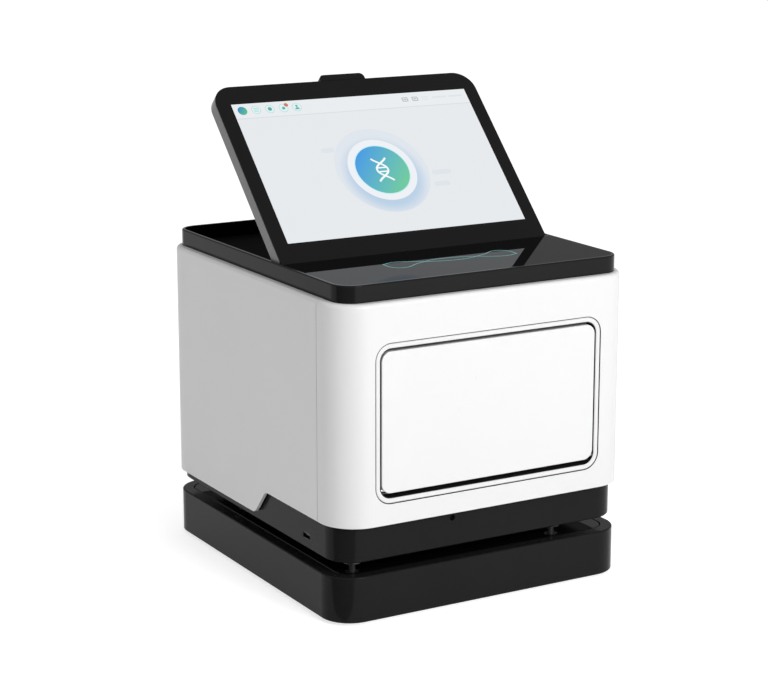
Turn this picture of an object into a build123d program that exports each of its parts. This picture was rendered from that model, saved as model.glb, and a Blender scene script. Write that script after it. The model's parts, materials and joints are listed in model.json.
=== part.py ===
from build123d import *
import os
from math import cos, radians, sin

os.makedirs("parts", exist_ok=True)

# Benchtop sequencer on a vibration-damping base. Millimetres, +Z up, +X to the right, +Y to the
# back. The origin is the middle of the footprint, at the height that the base's feet stand on.

# ---------------------------------------------------------------- driving dimensions
# base
foot_height = 3.0
foot_radius = 6.0
base_width = 300.0
base_depth = 331.0
base_height = 41.2
base_corner = 28.0
base_wall = 4.0
lip_width = 10.5
lip_height = 4.0
floor_thickness = 4.0
floor_inset = 1.0
platform_gap = 1.0
platform_thickness = 8.0
isolator_radius = 12.0
foot_left_margin = 25.5
foot_right_margin = 68.0
foot_front_margin = 19.5
foot_rear_margin = 105.5

# housing
stand_gap = 11.9
chassis_width = 292.0
chassis_depth = 324.0
chassis_corner = 25.0
chassis_show = 32.8
chassis_overlap = 12.0
cover_width = 301.0
cover_depth = 341.0
cover_corner = 33.0
cover_height = 194.2
cover_drop = 24.8
cover_edge = 3.5
wall = 3.0
cover_flange = 22.0
top_plate_thickness = 3.0
seam = 0.5
lip_gap = 0.2
front_seam_y = -132.0

# deck
deck_side_step = 7.5
deck_depth = 326.0
deck_height = 15.2
deck_corner = 19.0
rim = 3.0
well_floor = 1.5
glass_inlay = 2.5
glass_inset = 3.0

# screen
screen_height = 197.0
screen_depth = 13.2
screen_gap = 1.0
screen_corner = 20.0
screen_tilt = 45.3
cover_glass = 1.5
pin_radius = 1.4
pin_depth = 3.0
well_front_y = -49.3
well_back_gap = 3.0
hinge_y = -45.74
tab_width = 41.0
tab_reach = 6.8

# door
bezel_margin = 35.7
door_height = 124.0
door_thickness = 8.0
door_corner = 9.0
door_bottom = 116.6
door_side_gap = 1.5
door_top_gap = 2.5
door_bottom_gap = 4.5
door_axis_inset = 3.0
door_pin_radius = 1.5
bezel_width = 4.5
bezel_depth = 12.0

# bay and tray
tunnel_inset = 8.3
tunnel_bottom = 173.0
tunnel_top = 241.0
tunnel_length = 160.0
liner_wall = 2.0
tray_bottom = 180.2
tray_thickness = 4.0
tray_length = 138.0
tray_gap = 0.3
tray_lip = 24.8
rail_width = 5.0
rail_height = 10.0

# mains side
fan_size = 80.0
fan_depth = 20.0
fan_x = -62.0
fan_z = 173.0
fan_bore = 37.5
rotor_radius = 36.0
rotor_hub = 16.0
blade_count = 7
inlet_x = 80.0
inlet_z = 112.0
switch_x = 36.0
lan_x = -80.0

# running clearance round every pin that turns or slides
running = 0.15

# ---------------------------------------------------------------- levels and faces worked out
base_bottom = foot_height
base_top = base_bottom + base_height
platform_bottom = base_top - platform_thickness
floor_bottom = base_bottom + floor_inset
floor_top = floor_bottom + floor_thickness
chassis_bottom = base_top + stand_gap
chassis_floor = chassis_bottom + wall
cover_front_bottom = chassis_bottom + chassis_show
cover_rear_bottom = cover_front_bottom - cover_drop
chassis_top = cover_front_bottom + chassis_overlap
cover_top = cover_front_bottom + cover_height
flange_bottom = cover_top - wall
top_plate_bottom = flange_bottom - top_plate_thickness
deck_width = cover_width - 2 * deck_side_step
deck_top = cover_top + deck_height
front_face = -cover_depth / 2
rear_face = cover_depth / 2
rear_inside = rear_face - wall
screen_width = deck_width - 2 * (rim + screen_gap)
axis_height = deck_top - pin_depth
door_top = door_bottom + door_height
door_axis_y = front_face + door_axis_inset
door_axis_z = door_bottom + door_axis_inset
bezel_outer_width = cover_width - 2 * bezel_margin
bezel_inner_width = bezel_outer_width - 2 * bezel_width
bezel_inner_height = door_height + door_top_gap + door_bottom_gap
door_width = bezel_inner_width - 2 * door_side_gap
tunnel_half = bezel_inner_width / 2 - tunnel_inset
bezel_outer_height = bezel_inner_height + 2 * bezel_width
bezel_middle = door_bottom - door_bottom_gap + bezel_inner_height / 2
bezel_back = front_face + bezel_depth
bezel_inner_corner = door_corner + door_side_gap
tray_top = tray_bottom + tray_thickness
tray_front = bezel_back + 14.0
tray_back = tray_front + tray_length
fan_back = rear_inside - fan_depth

# the feet stand where the housing's weight is carried
foot_left_x = -base_width / 2 + foot_left_margin
foot_right_x = base_width / 2 - foot_right_margin
foot_front_y = -base_depth / 2 + foot_front_margin
foot_rear_y = base_depth / 2 - foot_rear_margin
foot_places = [(x, y) for x in (foot_left_x, foot_right_x) for y in (foot_front_y, foot_rear_y)]
base_foot_x = base_width / 2 - 20.0
base_foot_y = base_depth / 2 - 20.0

# the plane of the screen's glass: X across, Y up the glass, Z out of its front
slope = radians(screen_tilt)
edge_along = (1.0 - (pin_depth * (1 - cos(slope)))) / sin(slope)
glass_edge_y = hinge_y - edge_along * cos(slope) - pin_depth * sin(slope)
glass_edge_z = axis_height - edge_along * sin(slope) + pin_depth * cos(slope)
glass_plane = Plane(
    origin=(0, glass_edge_y, glass_edge_z),
    x_dir=(1, 0, 0),
    z_dir=(0, -sin(slope), cos(slope)),
)
up_the_glass = Axis((0, 0, 0), (0, cos(slope), sin(slope)))
out_of_glass = Axis((0, 0, 0), (0, -sin(slope), cos(slope)))


# ---------------------------------------------------------------- helpers
def slab(width, depth, corner, bottom, top, mode=Mode.ADD, y=0.0):
    """Upright block with rounded plan corners, added to the sub-part being made."""
    with BuildSketch(Plane((0, y, bottom))) as plan:
        RectangleRounded(width, depth, corner)
    extrude(plan.sketch, amount=top - bottom, mode=mode)


def block(x_span, y_span, z_span, mode=Mode.ADD):
    """Square-cornered block between three pairs of limits."""
    middle = [(low + high) / 2 for low, high in (x_span, y_span, z_span)]
    size = [high - low for low, high in (x_span, y_span, z_span)]
    with Locations(Location(middle)):
        Box(*size, mode=mode)


def upright(plane_y, width, height, corner, middle_z, depth, mode=Mode.ADD, x=0.0):
    """Rounded rectangle in the XZ plane at plane_y, extruded towards the back."""
    with BuildSketch(Plane((x, plane_y, middle_z), x_dir=(1, 0, 0), z_dir=(0, 1, 0))) as outline:
        RectangleRounded(width, height, corner)
    extrude(outline.sketch, amount=depth, mode=mode)


def post(radius, places, bottom, top, mode=Mode.ADD):
    """Vertical round posts, or holes, of one radius."""
    with BuildSketch(Plane.XY.offset(bottom)) as circles:
        with Locations(*places):
            Circle(radius)
    extrude(circles.sketch, amount=top - bottom, mode=mode)


def rod_x(radius, y, z, x_from, x_to, mode=Mode.ADD):
    """Round rod, or bore, along X."""
    with BuildSketch(Plane((x_from, y, z), x_dir=(0, 1, 0), z_dir=(1, 0, 0))) as circle:
        Circle(radius)
    extrude(circle.sketch, amount=x_to - x_from, mode=mode)


def rod_y(radius, x, z, y_from, y_to, mode=Mode.ADD):
    """Round rod, or bore, along Y."""
    with BuildSketch(Plane((x, y_from, z), x_dir=(1, 0, 0), z_dir=(0, 1, 0))) as circle:
        Circle(radius)
    extrude(circle.sketch, amount=y_to - y_from, mode=mode)


def glass_outline(reach_in, front, back, mode=Mode.ADD):
    """Screen outline, drawn in by reach_in all round, between two depths behind the glass."""
    radius = screen_corner - reach_in
    half = screen_width / 2 - reach_in
    with BuildSketch(glass_plane.offset(-front)) as outline:
        with Locations((0, screen_height / 2)):
            Rectangle(2 * half, screen_height - 2 * reach_in)
        upper = outline.vertices().group_by(up_the_glass)[-1]
        fillet(upper, radius)
    extrude(outline.sketch, amount=-(back - front), mode=mode)


# ================================================================ vibration-damping base
floor_width = base_width - 2 * base_wall - 2 * running
floor_depth = base_depth - 2 * base_wall - 2 * running
base_screw_places = [
    (x, y)
    for x in (-floor_width / 2 + 12.0, floor_width / 2 - 12.0)
    for y in (-floor_depth / 4, 0.0, floor_depth / 4)
]
isolator_places = [
    (x, y) for x in (-base_width / 3, base_width / 3) for y in (-base_depth / 3, base_depth / 3)
]
base_foot_places = [
    (x, y) for x in (-base_foot_x, base_foot_x) for y in (-base_foot_y, base_foot_y)
]
screw_shank = 2.0
screw_head = 3.6
head_height = 1.5

with BuildPart() as base_shell:
    slab(base_width, base_depth, base_corner, base_bottom, base_top)
    fillet(base_shell.edges().group_by(Axis.Z)[-1], 1.2)
    chamfer(base_shell.edges().group_by(Axis.Z)[0], 0.8)
    slab(
        base_width - 2 * base_wall,
        base_depth - 2 * base_wall,
        base_corner - base_wall,
        base_bottom,
        base_top - lip_height,
        Mode.SUBTRACT,
    )
    slab(
        base_width - 2 * lip_width,
        base_depth - 2 * lip_width,
        base_corner - lip_width,
        base_top - lip_height,
        base_top,
        Mode.SUBTRACT,
    )
    # screw bosses stand between the lip and the floor plate, in the side walls
    for x, y in base_screw_places:
        side = 1 if x > 0 else -1
        wall_x = side * (base_width / 2 - base_wall)
        near = x - side * 5.0
        block(
            (min(near, wall_x), max(near, wall_x)),
            (y - 5.0, y + 5.0),
            (floor_top, platform_bottom - 4.0),
        )
    post(screw_shank, base_screw_places, floor_top, floor_top + 10.0, Mode.SUBTRACT)
base_shell.part.label = "base_shell"
export_step(base_shell.part, "parts/base_shell.step")

with BuildPart() as base_floor:
    slab(floor_width, floor_depth, base_corner - base_wall - running, floor_bottom, floor_top)
    post(screw_shank, base_screw_places, floor_bottom, floor_top, Mode.SUBTRACT)
base_floor.part.label = "base_floor"
export_step(base_floor.part, "parts/base_floor.step")

with BuildPart() as base_screws:
    post(screw_shank, base_screw_places, floor_bottom, floor_top + 9.0)
    post(screw_head, base_screw_places, floor_bottom - head_height, floor_bottom)
base_screws.part.label = "base_screws"
export_step(base_screws.part, "parts/base_screws.step")

with BuildPart() as base_feet:
    with BuildSketch(Plane.XY.offset(floor_bottom)) as foot_tops:
        with Locations(*base_foot_places):
            Circle(foot_radius)
    extrude(foot_tops.sketch, amount=-floor_bottom, taper=8)
base_feet.part.label = "base_feet"
export_step(base_feet.part, "parts/base_feet.step")

with BuildPart() as isolators:
    for x, y in isolator_places:
        with BuildSketch(Plane((x, y, 0), x_dir=(1, 0, 0), z_dir=(0, -1, 0))) as bobbin:
            with BuildLine():
                Polyline(
                    (isolator_radius, floor_top),
                    (0, floor_top),
                    (0, platform_bottom),
                    (isolator_radius, platform_bottom),
                )
                ThreePointArc(
                    (isolator_radius, platform_bottom),
                    (isolator_radius * 0.7, (floor_top + platform_bottom) / 2),
                    (isolator_radius, floor_top),
                )
            make_face()
        revolve(bobbin.sketch, Axis((x, y, 0), (0, 0, 1)))
isolators.part.label = "isolators"
export_step(isolators.part, "parts/isolators.step")

# ================================================================ floating platform
cup_radius = 6.0
cup_depth = 5.0
stem_radius = 3.0
cup_bore = stem_radius + 0.5
plate_width = base_width - 2 * lip_width - 2 * platform_gap
plate_depth = base_depth - 2 * lip_width - 2 * platform_gap

with BuildPart() as platform_plate:
    slab(
        plate_width,
        plate_depth,
        base_corner - lip_width - platform_gap,
        platform_bottom,
        base_top,
    )
    chamfer(platform_plate.edges().group_by(Axis.Z)[-1], 0.5)
    post(cup_radius, foot_places, base_top - cup_depth, base_top, Mode.SUBTRACT)
platform_plate.part.label = "platform_plate"
export_step(platform_plate.part, "parts/platform_plate.step")

with BuildPart() as foot_cups:
    post(cup_radius, foot_places, base_top - cup_depth, base_top)
    post(cup_bore, foot_places, base_top - cup_depth + 1.5, base_top, Mode.SUBTRACT)
foot_cups.part.label = "foot_cups"
export_step(foot_cups.part, "parts/foot_cups.step")

# ================================================================ chassis and its feet
collar_radius = 8.2
collar_height = 4.2
groove_pitch = 1.3
stem_bottom = base_top - cup_depth + 1.5

with BuildPart() as instrument_feet:
    post(collar_radius, foot_places, chassis_bottom - collar_height, chassis_bottom)
    chamfer(instrument_feet.edges().group_by(Axis.Z)[0], 0.8)
    post(stem_radius, foot_places, stem_bottom, chassis_bottom - collar_height)
    # grooves round the stem
    for x, y in foot_places:
        for step in range(3):
            level = base_top + 1.0 + 2 * groove_pitch * step
            with BuildSketch(Plane.XY.offset(level)) as ring:
                with Locations((x, y)):
                    Circle(stem_radius)
                    Circle(stem_radius - 0.5, mode=Mode.SUBTRACT)
            extrude(ring.sketch, amount=groove_pitch, mode=Mode.SUBTRACT)
instrument_feet.part.label = "instrument_feet"
export_step(instrument_feet.part, "parts/instrument_feet.step")

usb_y = -103.1
usb_z = chassis_bottom + 10.9
usb_width = 13.1
usb_height = 5.7
usb_length = 14.0
usb_wall = 0.6
sensor_x = -33.1
sensor_z = chassis_bottom + 25.7
sensor_radius = 2.7
chassis_left = -chassis_width / 2
chassis_front = -chassis_depth / 2
chassis_back = chassis_depth / 2
vent_pitch = 9.0
inlet_width = 27.2
inlet_height = 19.8
lan_width = 16.0
lan_height = 13.5

with BuildPart() as chassis_tray:
    slab(chassis_width, chassis_depth, chassis_corner, chassis_bottom, chassis_top)
    chamfer(chassis_tray.edges().group_by(Axis.Z)[0], 1.0)
    slab(
        chassis_width - 2 * wall,
        chassis_depth - 2 * wall,
        chassis_corner - wall,
        chassis_floor,
        chassis_top,
        Mode.SUBTRACT,
    )
    # socket window in the left wall and sensor hole in the front wall
    block(
        (chassis_left, chassis_left + wall),
        (usb_y - usb_width / 2, usb_y + usb_width / 2),
        (usb_z - usb_height / 2, usb_z + usb_height / 2),
        Mode.SUBTRACT,
    )
    rod_y(sensor_radius, sensor_x, sensor_z, chassis_front, chassis_front + wall, Mode.SUBTRACT)
    # air slots under the supply
    with BuildSketch(Plane.XY.offset(chassis_bottom)) as floor_slots:
        with Locations((70.0, -70.0)):
            with GridLocations(vent_pitch, 0, 9, 1):
                SlotOverall(40.0, 3.0, rotation=90)
    extrude(floor_slots.sketch, amount=wall, mode=Mode.SUBTRACT)
    # the back wall stays below the mains inlet and the network socket
    block(
        (-cover_width / 2 + cover_corner, cover_width / 2 - cover_corner),
        (chassis_back - wall, chassis_back),
        (cover_front_bottom, chassis_top),
        Mode.SUBTRACT,
    )
chassis_tray.part.label = "chassis_tray"
export_step(chassis_tray.part, "parts/chassis_tray.step")

with BuildPart() as usb_shell:
    block(
        (chassis_left + 0.3, chassis_left + 0.3 + usb_length),
        (usb_y - usb_width / 2, usb_y + usb_width / 2),
        (usb_z - usb_height / 2, usb_z + usb_height / 2),
    )
    block(
        (chassis_left + 0.3, chassis_left + 0.3 + usb_length - 1.5),
        (usb_y - usb_width / 2 + usb_wall, usb_y + usb_width / 2 - usb_wall),
        (usb_z - usb_height / 2 + usb_wall, usb_z + usb_height / 2 - usb_wall),
        Mode.SUBTRACT,
    )
usb_shell.part.label = "usb_shell"
export_step(usb_shell.part, "parts/usb_shell.step")

with BuildPart() as usb_tongue:
    block(
        (chassis_left + 1.8, chassis_left + 0.3 + usb_length - 1.5),
        (usb_y - 5.4, usb_y + 5.4),
        (usb_z + 0.1, usb_z + usb_height / 2 - usb_wall),
    )
usb_tongue.part.label = "usb_tongue"
export_step(usb_tongue.part, "parts/usb_tongue.step")

with BuildPart() as sensor_lens:
    rod_y(sensor_radius, sensor_x, sensor_z, chassis_front + 1.4, chassis_front + wall + 4.0)
    rod_y(sensor_radius + 1.5, sensor_x, sensor_z, chassis_front + wall, chassis_front + wall + 4.0)
sensor_lens.part.label = "sensor_lens"
export_step(sensor_lens.part, "parts/sensor_lens.step")

# ================================================================ inner frame
post_side = 12.0
post_x = chassis_width / 2 - 22.0
post_y = chassis_depth / 2 - 22.0

with BuildPart() as frame_posts:
    with BuildSketch(Plane.XY.offset(chassis_floor)) as feet_of_posts:
        with GridLocations(2 * post_x, 2 * post_y, 2, 2):
            Rectangle(post_side, post_side)
    extrude(feet_of_posts.sketch, amount=top_plate_bottom - chassis_floor)
frame_posts.part.label = "frame_posts"
export_step(frame_posts.part, "parts/frame_posts.step")

deck_screw_inset = 7.0
deck_screw_spacing = 80.0
deck_screw_rear = 23.0
deck_screw_x = deck_width / 2 - rim - deck_screw_inset
deck_screw_y = [deck_depth / 2 - deck_screw_rear - step * deck_screw_spacing for step in (2, 1, 0)]
deck_screw_places = [(x, y) for x in (-deck_screw_x, deck_screw_x) for y in deck_screw_y]
deck_shank = 1.5
countersink = 3.0

top_plate_rim = 75.5
window_corner = 12.0
window_shift = 30.0

with BuildPart() as top_plate:
    slab(
        cover_width - 2 * wall - 1.0,
        cover_depth - 2 * wall - 1.0,
        cover_corner - wall - 0.5,
        top_plate_bottom,
        flange_bottom,
    )
    slab(
        cover_width - 2 * top_plate_rim,
        cover_depth - 2 * top_plate_rim,
        window_corner,
        top_plate_bottom,
        flange_bottom,
        Mode.SUBTRACT,
        y=window_shift,
    )
    post(deck_shank, deck_screw_places, top_plate_bottom, flange_bottom, Mode.SUBTRACT)
top_plate.part.label = "top_plate"
export_step(top_plate.part, "parts/top_plate.step")


# ================================================================ covers
def cover_ring(piece):
    """Full ring of covers with its inward top flange, from which each cover is cut."""
    slab(cover_width, cover_depth, cover_corner, cover_rear_bottom, cover_top)
    fillet(piece.edges().group_by(Axis.Z)[-1], cover_edge)
    slab(
        cover_width - 2 * wall,
        cover_depth - 2 * wall,
        cover_corner - wall,
        cover_rear_bottom,
        flange_bottom,
        Mode.SUBTRACT,
    )
    slab(
        cover_width - 2 * cover_flange,
        cover_depth - 2 * cover_flange,
        cover_corner - cover_flange,
        flange_bottom,
        cover_top,
        Mode.SUBTRACT,
    )
    post(deck_shank, deck_screw_places, flange_bottom, cover_top, Mode.SUBTRACT)


def bottom_lip(bottom):
    """Inward lip at a cover's lower edge that closes the gap to the chassis."""
    with BuildSketch(Plane.XY.offset(bottom)) as lip:
        RectangleRounded(cover_width - wall, cover_depth - wall, cover_corner - wall / 2)
        RectangleRounded(
            chassis_width + 2 * lip_gap,
            chassis_depth + 2 * lip_gap,
            chassis_corner + lip_gap,
            mode=Mode.SUBTRACT,
        )
    extrude(lip.sketch, amount=wall)


aperture_width = bezel_outer_width + seam
aperture_height = bezel_outer_height + seam
aperture_corner = bezel_inner_corner + bezel_width
step_top_y = -33.7
step_bottom_y = -12.1
rear_half = cover_width / 2 - cover_corner

with BuildPart() as front_cover:
    cover_ring(front_cover)
    bottom_lip(cover_front_bottom)
    block(
        (-cover_width, cover_width),
        (front_seam_y - seam / 2, cover_depth),
        (0, deck_top),
        Mode.SUBTRACT,
    )
    block((-cover_width, cover_width), (-cover_depth, 0), (0, cover_front_bottom), Mode.SUBTRACT)
    upright(
        front_face,
        aperture_width,
        aperture_height,
        aperture_corner,
        bezel_middle,
        wall,
        Mode.SUBTRACT,
    )
front_cover.part.label = "front_cover"
export_step(front_cover.part, "parts/front_cover.step")

for side, name in ((-1, "left_cover"), (1, "right_cover")):
    with BuildPart() as cover:
        cover_ring(cover)
        block(
            (-cover_width, cover_width),
            (-cover_depth, front_seam_y + seam / 2),
            (0, deck_top),
            Mode.SUBTRACT,
        )
        # stepped lower edge: high over the side socket, low towards the back
        with BuildSketch(Plane((-cover_width, 0, 0), x_dir=(0, 1, 0), z_dir=(1, 0, 0))) as step:
            with BuildLine():
                FilletPolyline(
                    (front_seam_y - 10.0, cover_front_bottom),
                    (step_top_y, cover_front_bottom),
                    (step_bottom_y, cover_rear_bottom),
                    (step_bottom_y + 30.0, cover_rear_bottom),
                    radius=10.0,
                )
                Polyline(
                    (step_bottom_y + 30.0, cover_rear_bottom),
                    (step_bottom_y + 30.0, 0),
                    (front_seam_y - 10.0, 0),
                    (front_seam_y - 10.0, cover_front_bottom),
                )
            make_face()
        extrude(step.sketch, amount=2 * cover_width, mode=Mode.SUBTRACT)
        # each side panel ends behind the rounded rear corner
        edge_x = side * (rear_half + seam / 2)
        block(
            (min(edge_x, -side * cover_width), max(edge_x, -side * cover_width)),
            (cover_depth / 2 - cover_corner, cover_depth),
            (0, deck_top),
            Mode.SUBTRACT,
        )
        block(
            (min(0, -side * cover_width), max(0, -side * cover_width)),
            (-cover_depth, cover_depth),
            (0, deck_top),
            Mode.SUBTRACT,
        )
    cover.part.label = name
    export_step(cover.part, f"parts/{name}.step")

grille_step = 9.0
grille_slot = 60.0
rear_screw_places = [
    (x, z) for x in (-rear_half + 10.0, rear_half - 10.0) for z in (76.0, 176.0, 256.0)
]
recess_depth = 1.5
inlet_flange_x = 32.0
inlet_flange_z = 24.0
switch_width = 21.0
switch_height = 15.0

with BuildPart() as rear_panel:
    cover_ring(rear_panel)
    bottom_lip(cover_rear_bottom)
    for side in (-1, 1):
        edge_x = side * (rear_half - seam / 2)
        block(
            (min(edge_x, side * cover_width), max(edge_x, side * cover_width)),
            (-cover_depth, cover_depth),
            (0, deck_top),
            Mode.SUBTRACT,
        )
    block(
        (-cover_width, cover_width),
        (-cover_depth, rear_face - cover_corner + seam / 2),
        (0, deck_top),
        Mode.SUBTRACT,
    )
    # fan opening and air slots
    rod_y(fan_bore, fan_x, fan_z, rear_inside, rear_face, Mode.SUBTRACT)
    with BuildSketch(Plane((60.0, rear_inside, 205.0), x_dir=(1, 0, 0), z_dir=(0, 1, 0))) as slots:
        with GridLocations(0, grille_step, 1, 11):
            SlotOverall(grille_slot, 3.5)
    extrude(slots.sketch, amount=wall, mode=Mode.SUBTRACT)
    # mains inlet: flange recess and window
    upright(
        rear_face - recess_depth,
        inlet_flange_x,
        inlet_flange_z,
        2.0,
        inlet_z,
        recess_depth,
        Mode.SUBTRACT,
        x=inlet_x,
    )
    upright(rear_inside, inlet_width, inlet_height, 1.0, inlet_z, wall, Mode.SUBTRACT, x=inlet_x)
    upright(rear_inside, switch_width, switch_height, 0.5, inlet_z, wall, Mode.SUBTRACT, x=switch_x)
    upright(rear_inside, lan_width, lan_height, 0.4, inlet_z, wall, Mode.SUBTRACT, x=lan_x)
    for x, z in rear_screw_places:
        with BuildSketch(Plane((x, rear_inside, z), x_dir=(1, 0, 0), z_dir=(0, 1, 0))) as shank:
            Circle(deck_shank)
        extrude(shank.sketch, amount=wall, mode=Mode.SUBTRACT)
        with Locations(Location((x, rear_face, z), (-90, 0, 0))):
            Cone(
                countersink - recess_depth,
                countersink,
                recess_depth,
                align=(Align.CENTER, Align.CENTER, Align.MAX),
                mode=Mode.SUBTRACT,
            )
rear_panel.part.label = "rear_panel"
export_step(rear_panel.part, "parts/rear_panel.step")

with BuildPart() as rear_screws:
    for x, z in rear_screw_places:
        rod_y(deck_shank, x, z, rear_inside - 3.0, rear_face - recess_depth)
        with Locations(Location((x, rear_face, z), (-90, 0, 0))):
            Cone(
                countersink - recess_depth,
                countersink,
                recess_depth,
                align=(Align.CENTER, Align.CENTER, Align.MAX),
            )
rear_screws.part.label = "rear_screws"
export_step(rear_screws.part, "parts/rear_screws.step")

# ================================================================ door, bezel and bay
bezel_flange = 2.5
bezel_flange_thickness = 2.5
bezel_corner = aperture_corner - seam / 2

with BuildPart() as door_bezel:
    upright(
        front_face,
        bezel_outer_width,
        bezel_outer_height,
        bezel_corner,
        bezel_middle,
        bezel_depth,
    )
    upright(
        front_face + wall,
        bezel_outer_width + 2 * bezel_flange,
        bezel_outer_height + 2 * bezel_flange,
        bezel_corner + bezel_flange,
        bezel_middle,
        bezel_flange_thickness,
    )
    upright(
        front_face,
        bezel_inner_width,
        bezel_inner_height,
        bezel_inner_corner,
        bezel_middle,
        bezel_depth,
        Mode.SUBTRACT,
    )
    fillet(door_bezel.edges().group_by(Axis.Y)[0], 1.4)
    rod_x(
        door_pin_radius + running,
        door_axis_y,
        door_axis_z,
        -bezel_outer_width / 2 + 0.5,
        bezel_outer_width / 2 - 0.5,
        Mode.SUBTRACT,
    )
door_bezel.part.label = "door_bezel"
export_step(door_bezel.part, "parts/door_bezel.step")

door_middle = door_bottom + door_height / 2
door_skin = 2.5
door_frame = 9.0
backer_thickness = 2.0
door_inside = front_face + door_thickness
pin_reach = bezel_width - 1.0

with BuildPart() as door_panel:
    upright(front_face, door_width, door_height, door_corner, door_middle, door_thickness)
    fillet(door_panel.edges().group_by(Axis.Y)[0], 0.8)
    # shallow hollow behind the skin, closed by the backer
    upright(
        front_face + door_skin,
        door_width - 2 * door_frame,
        door_height - 2 * door_frame,
        3.0,
        door_middle,
        door_thickness - door_skin,
        Mode.SUBTRACT,
    )
    upright(
        door_inside - backer_thickness,
        door_width - door_frame,
        door_height - door_frame,
        5.0,
        door_middle,
        backer_thickness,
        Mode.SUBTRACT,
    )
    # stiffening ribs across the hollow
    for x in (-door_width / 4, 0.0, door_width / 4):
        block(
            (x - 1.0, x + 1.0),
            (front_face + door_skin, door_inside - backer_thickness),
            (door_bottom + door_frame, door_top - door_frame),
        )
    for side in (-1, 1):
        ends = sorted((side * (door_width / 2 - 8.0), side * door_width / 2))
        rod_x(door_pin_radius, door_axis_y, door_axis_z, ends[0], ends[1], Mode.SUBTRACT)
door_panel.part.label = "door_panel"
export_step(door_panel.part, "parts/door_panel.step")

with BuildPart() as door_backer:
    upright(
        door_inside - backer_thickness,
        door_width - door_frame,
        door_height - door_frame,
        5.0,
        door_middle,
        backer_thickness,
    )
door_backer.part.label = "door_backer"
export_step(door_backer.part, "parts/door_backer.step")

with BuildPart() as door_pins:
    for side in (-1, 1):
        ends = sorted(
            (side * (door_width / 2 - 8.0), side * (door_width / 2 + door_side_gap + pin_reach))
        )
        rod_x(door_pin_radius, door_axis_y, door_axis_z, ends[0], ends[1])
door_pins.part.label = "door_pins"
export_step(door_pins.part, "parts/door_pins.step")

liner_frame = 8.0
tunnel_height = tunnel_top - tunnel_bottom
tunnel_middle = (tunnel_top + tunnel_bottom) / 2
tunnel_corner = 3.0
tunnel_front = bezel_back + liner_frame
tunnel_back = tunnel_front + tunnel_length
window_y = tunnel_front + 0.55 * tunnel_length
window_radius = 16.0

with BuildPart() as bay_liner:
    upright(
        bezel_back,
        bezel_outer_width,
        bezel_outer_height,
        bezel_corner,
        bezel_middle,
        liner_frame + liner_wall,
    )
    upright(
        bezel_back,
        bezel_inner_width - 3.0,
        bezel_inner_height - 3.0,
        bezel_inner_corner - 1.5,
        bezel_middle,
        liner_frame,
        Mode.SUBTRACT,
    )
    upright(
        tunnel_front,
        2 * (tunnel_half + liner_wall),
        tunnel_height + 2 * liner_wall,
        tunnel_corner + liner_wall,
        tunnel_middle,
        tunnel_length,
    )
    upright(
        tunnel_front,
        2 * tunnel_half,
        tunnel_height,
        tunnel_corner,
        tunnel_middle,
        tunnel_length - liner_wall,
        Mode.SUBTRACT,
    )
    post(window_radius, [(0.0, window_y)], tunnel_top, tunnel_top + liner_wall, Mode.SUBTRACT)
bay_liner.part.label = "bay_liner"
export_step(bay_liner.part, "parts/bay_liner.step")

rail_middle = tray_bottom + tray_thickness / 2
rail_front = tray_front + 4.0
rail_back = tunnel_back - liner_wall
slot_half = tray_thickness / 2 + tray_gap
rail_inner = tunnel_half - rail_width
tray_half = tunnel_half - 2.0

with BuildPart() as tray_rails:
    for side in (-1, 1):
        inner = side * rail_inner
        outer = side * tunnel_half
        block(
            (min(inner, outer), max(inner, outer)),
            (rail_front, rail_back),
            (rail_middle - rail_height / 2, rail_middle + rail_height / 2),
        )
        bottom_of_slot = side * (tray_half + tray_gap)
        block(
            (min(inner, bottom_of_slot), max(inner, bottom_of_slot)),
            (rail_front, rail_back),
            (rail_middle - slot_half, rail_middle + slot_half),
            Mode.SUBTRACT,
        )
tray_rails.part.label = "tray_rails"
export_step(tray_rails.part, "parts/tray_rails.step")

fascia_thickness = 3.0
fascia_bottom = tunnel_bottom + 2.0
fascia_top = fascia_bottom + tray_lip
nest_width = 128.0
nest_depth = 92.0
nest_height = 8.0
nest_y = tray_front + fascia_thickness + 8.0 + nest_depth / 2

with BuildPart() as tray:
    block((-tray_half, tray_half), (tray_front, tray_back), (tray_bottom, tray_top))
    upright(
        tray_front,
        2 * tray_half,
        fascia_top - fascia_bottom,
        4.0,
        (fascia_top + fascia_bottom) / 2,
        fascia_thickness,
    )
    # finger scoop in the top edge of the lip
    with Locations((0, tray_front, fascia_top)):
        Cylinder(14.0, 4 * fascia_thickness, rotation=(90, 0, 0), mode=Mode.SUBTRACT)
    # window under the nest
    slab(
        nest_width - 36.0,
        nest_depth - 30.0,
        6.0,
        tray_bottom,
        tray_top,
        Mode.SUBTRACT,
        y=nest_y,
    )
tray.part.label = "tray"
export_step(tray.part, "parts/tray.step")

pocket_wall = 6.0
pocket_floor = 2.5

with BuildPart() as cartridge_nest:
    slab(nest_width, nest_depth, 6.0, tray_top, tray_top + nest_height, y=nest_y)
    slab(
        nest_width - 2 * pocket_wall,
        nest_depth - 2 * pocket_wall,
        3.0,
        tray_top + pocket_floor,
        tray_top + nest_height,
        Mode.SUBTRACT,
        y=nest_y,
    )
    slab(
        nest_width - 44.0,
        nest_depth - 36.0,
        6.0,
        tray_top,
        tray_top + pocket_floor,
        Mode.SUBTRACT,
        y=nest_y,
    )
    # thumb cut-outs in the two long sides
    with Locations((0, nest_y - nest_depth / 2, tray_top + nest_height)):
        Cylinder(
            nest_height - pocket_floor,
            4 * pocket_wall,
            rotation=(90, 0, 0),
            mode=Mode.SUBTRACT,
        )
cartridge_nest.part.label = "cartridge_nest"
export_step(cartridge_nest.part, "parts/cartridge_nest.step")

clip_width = 10.0
clip_height = 4.0

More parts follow.
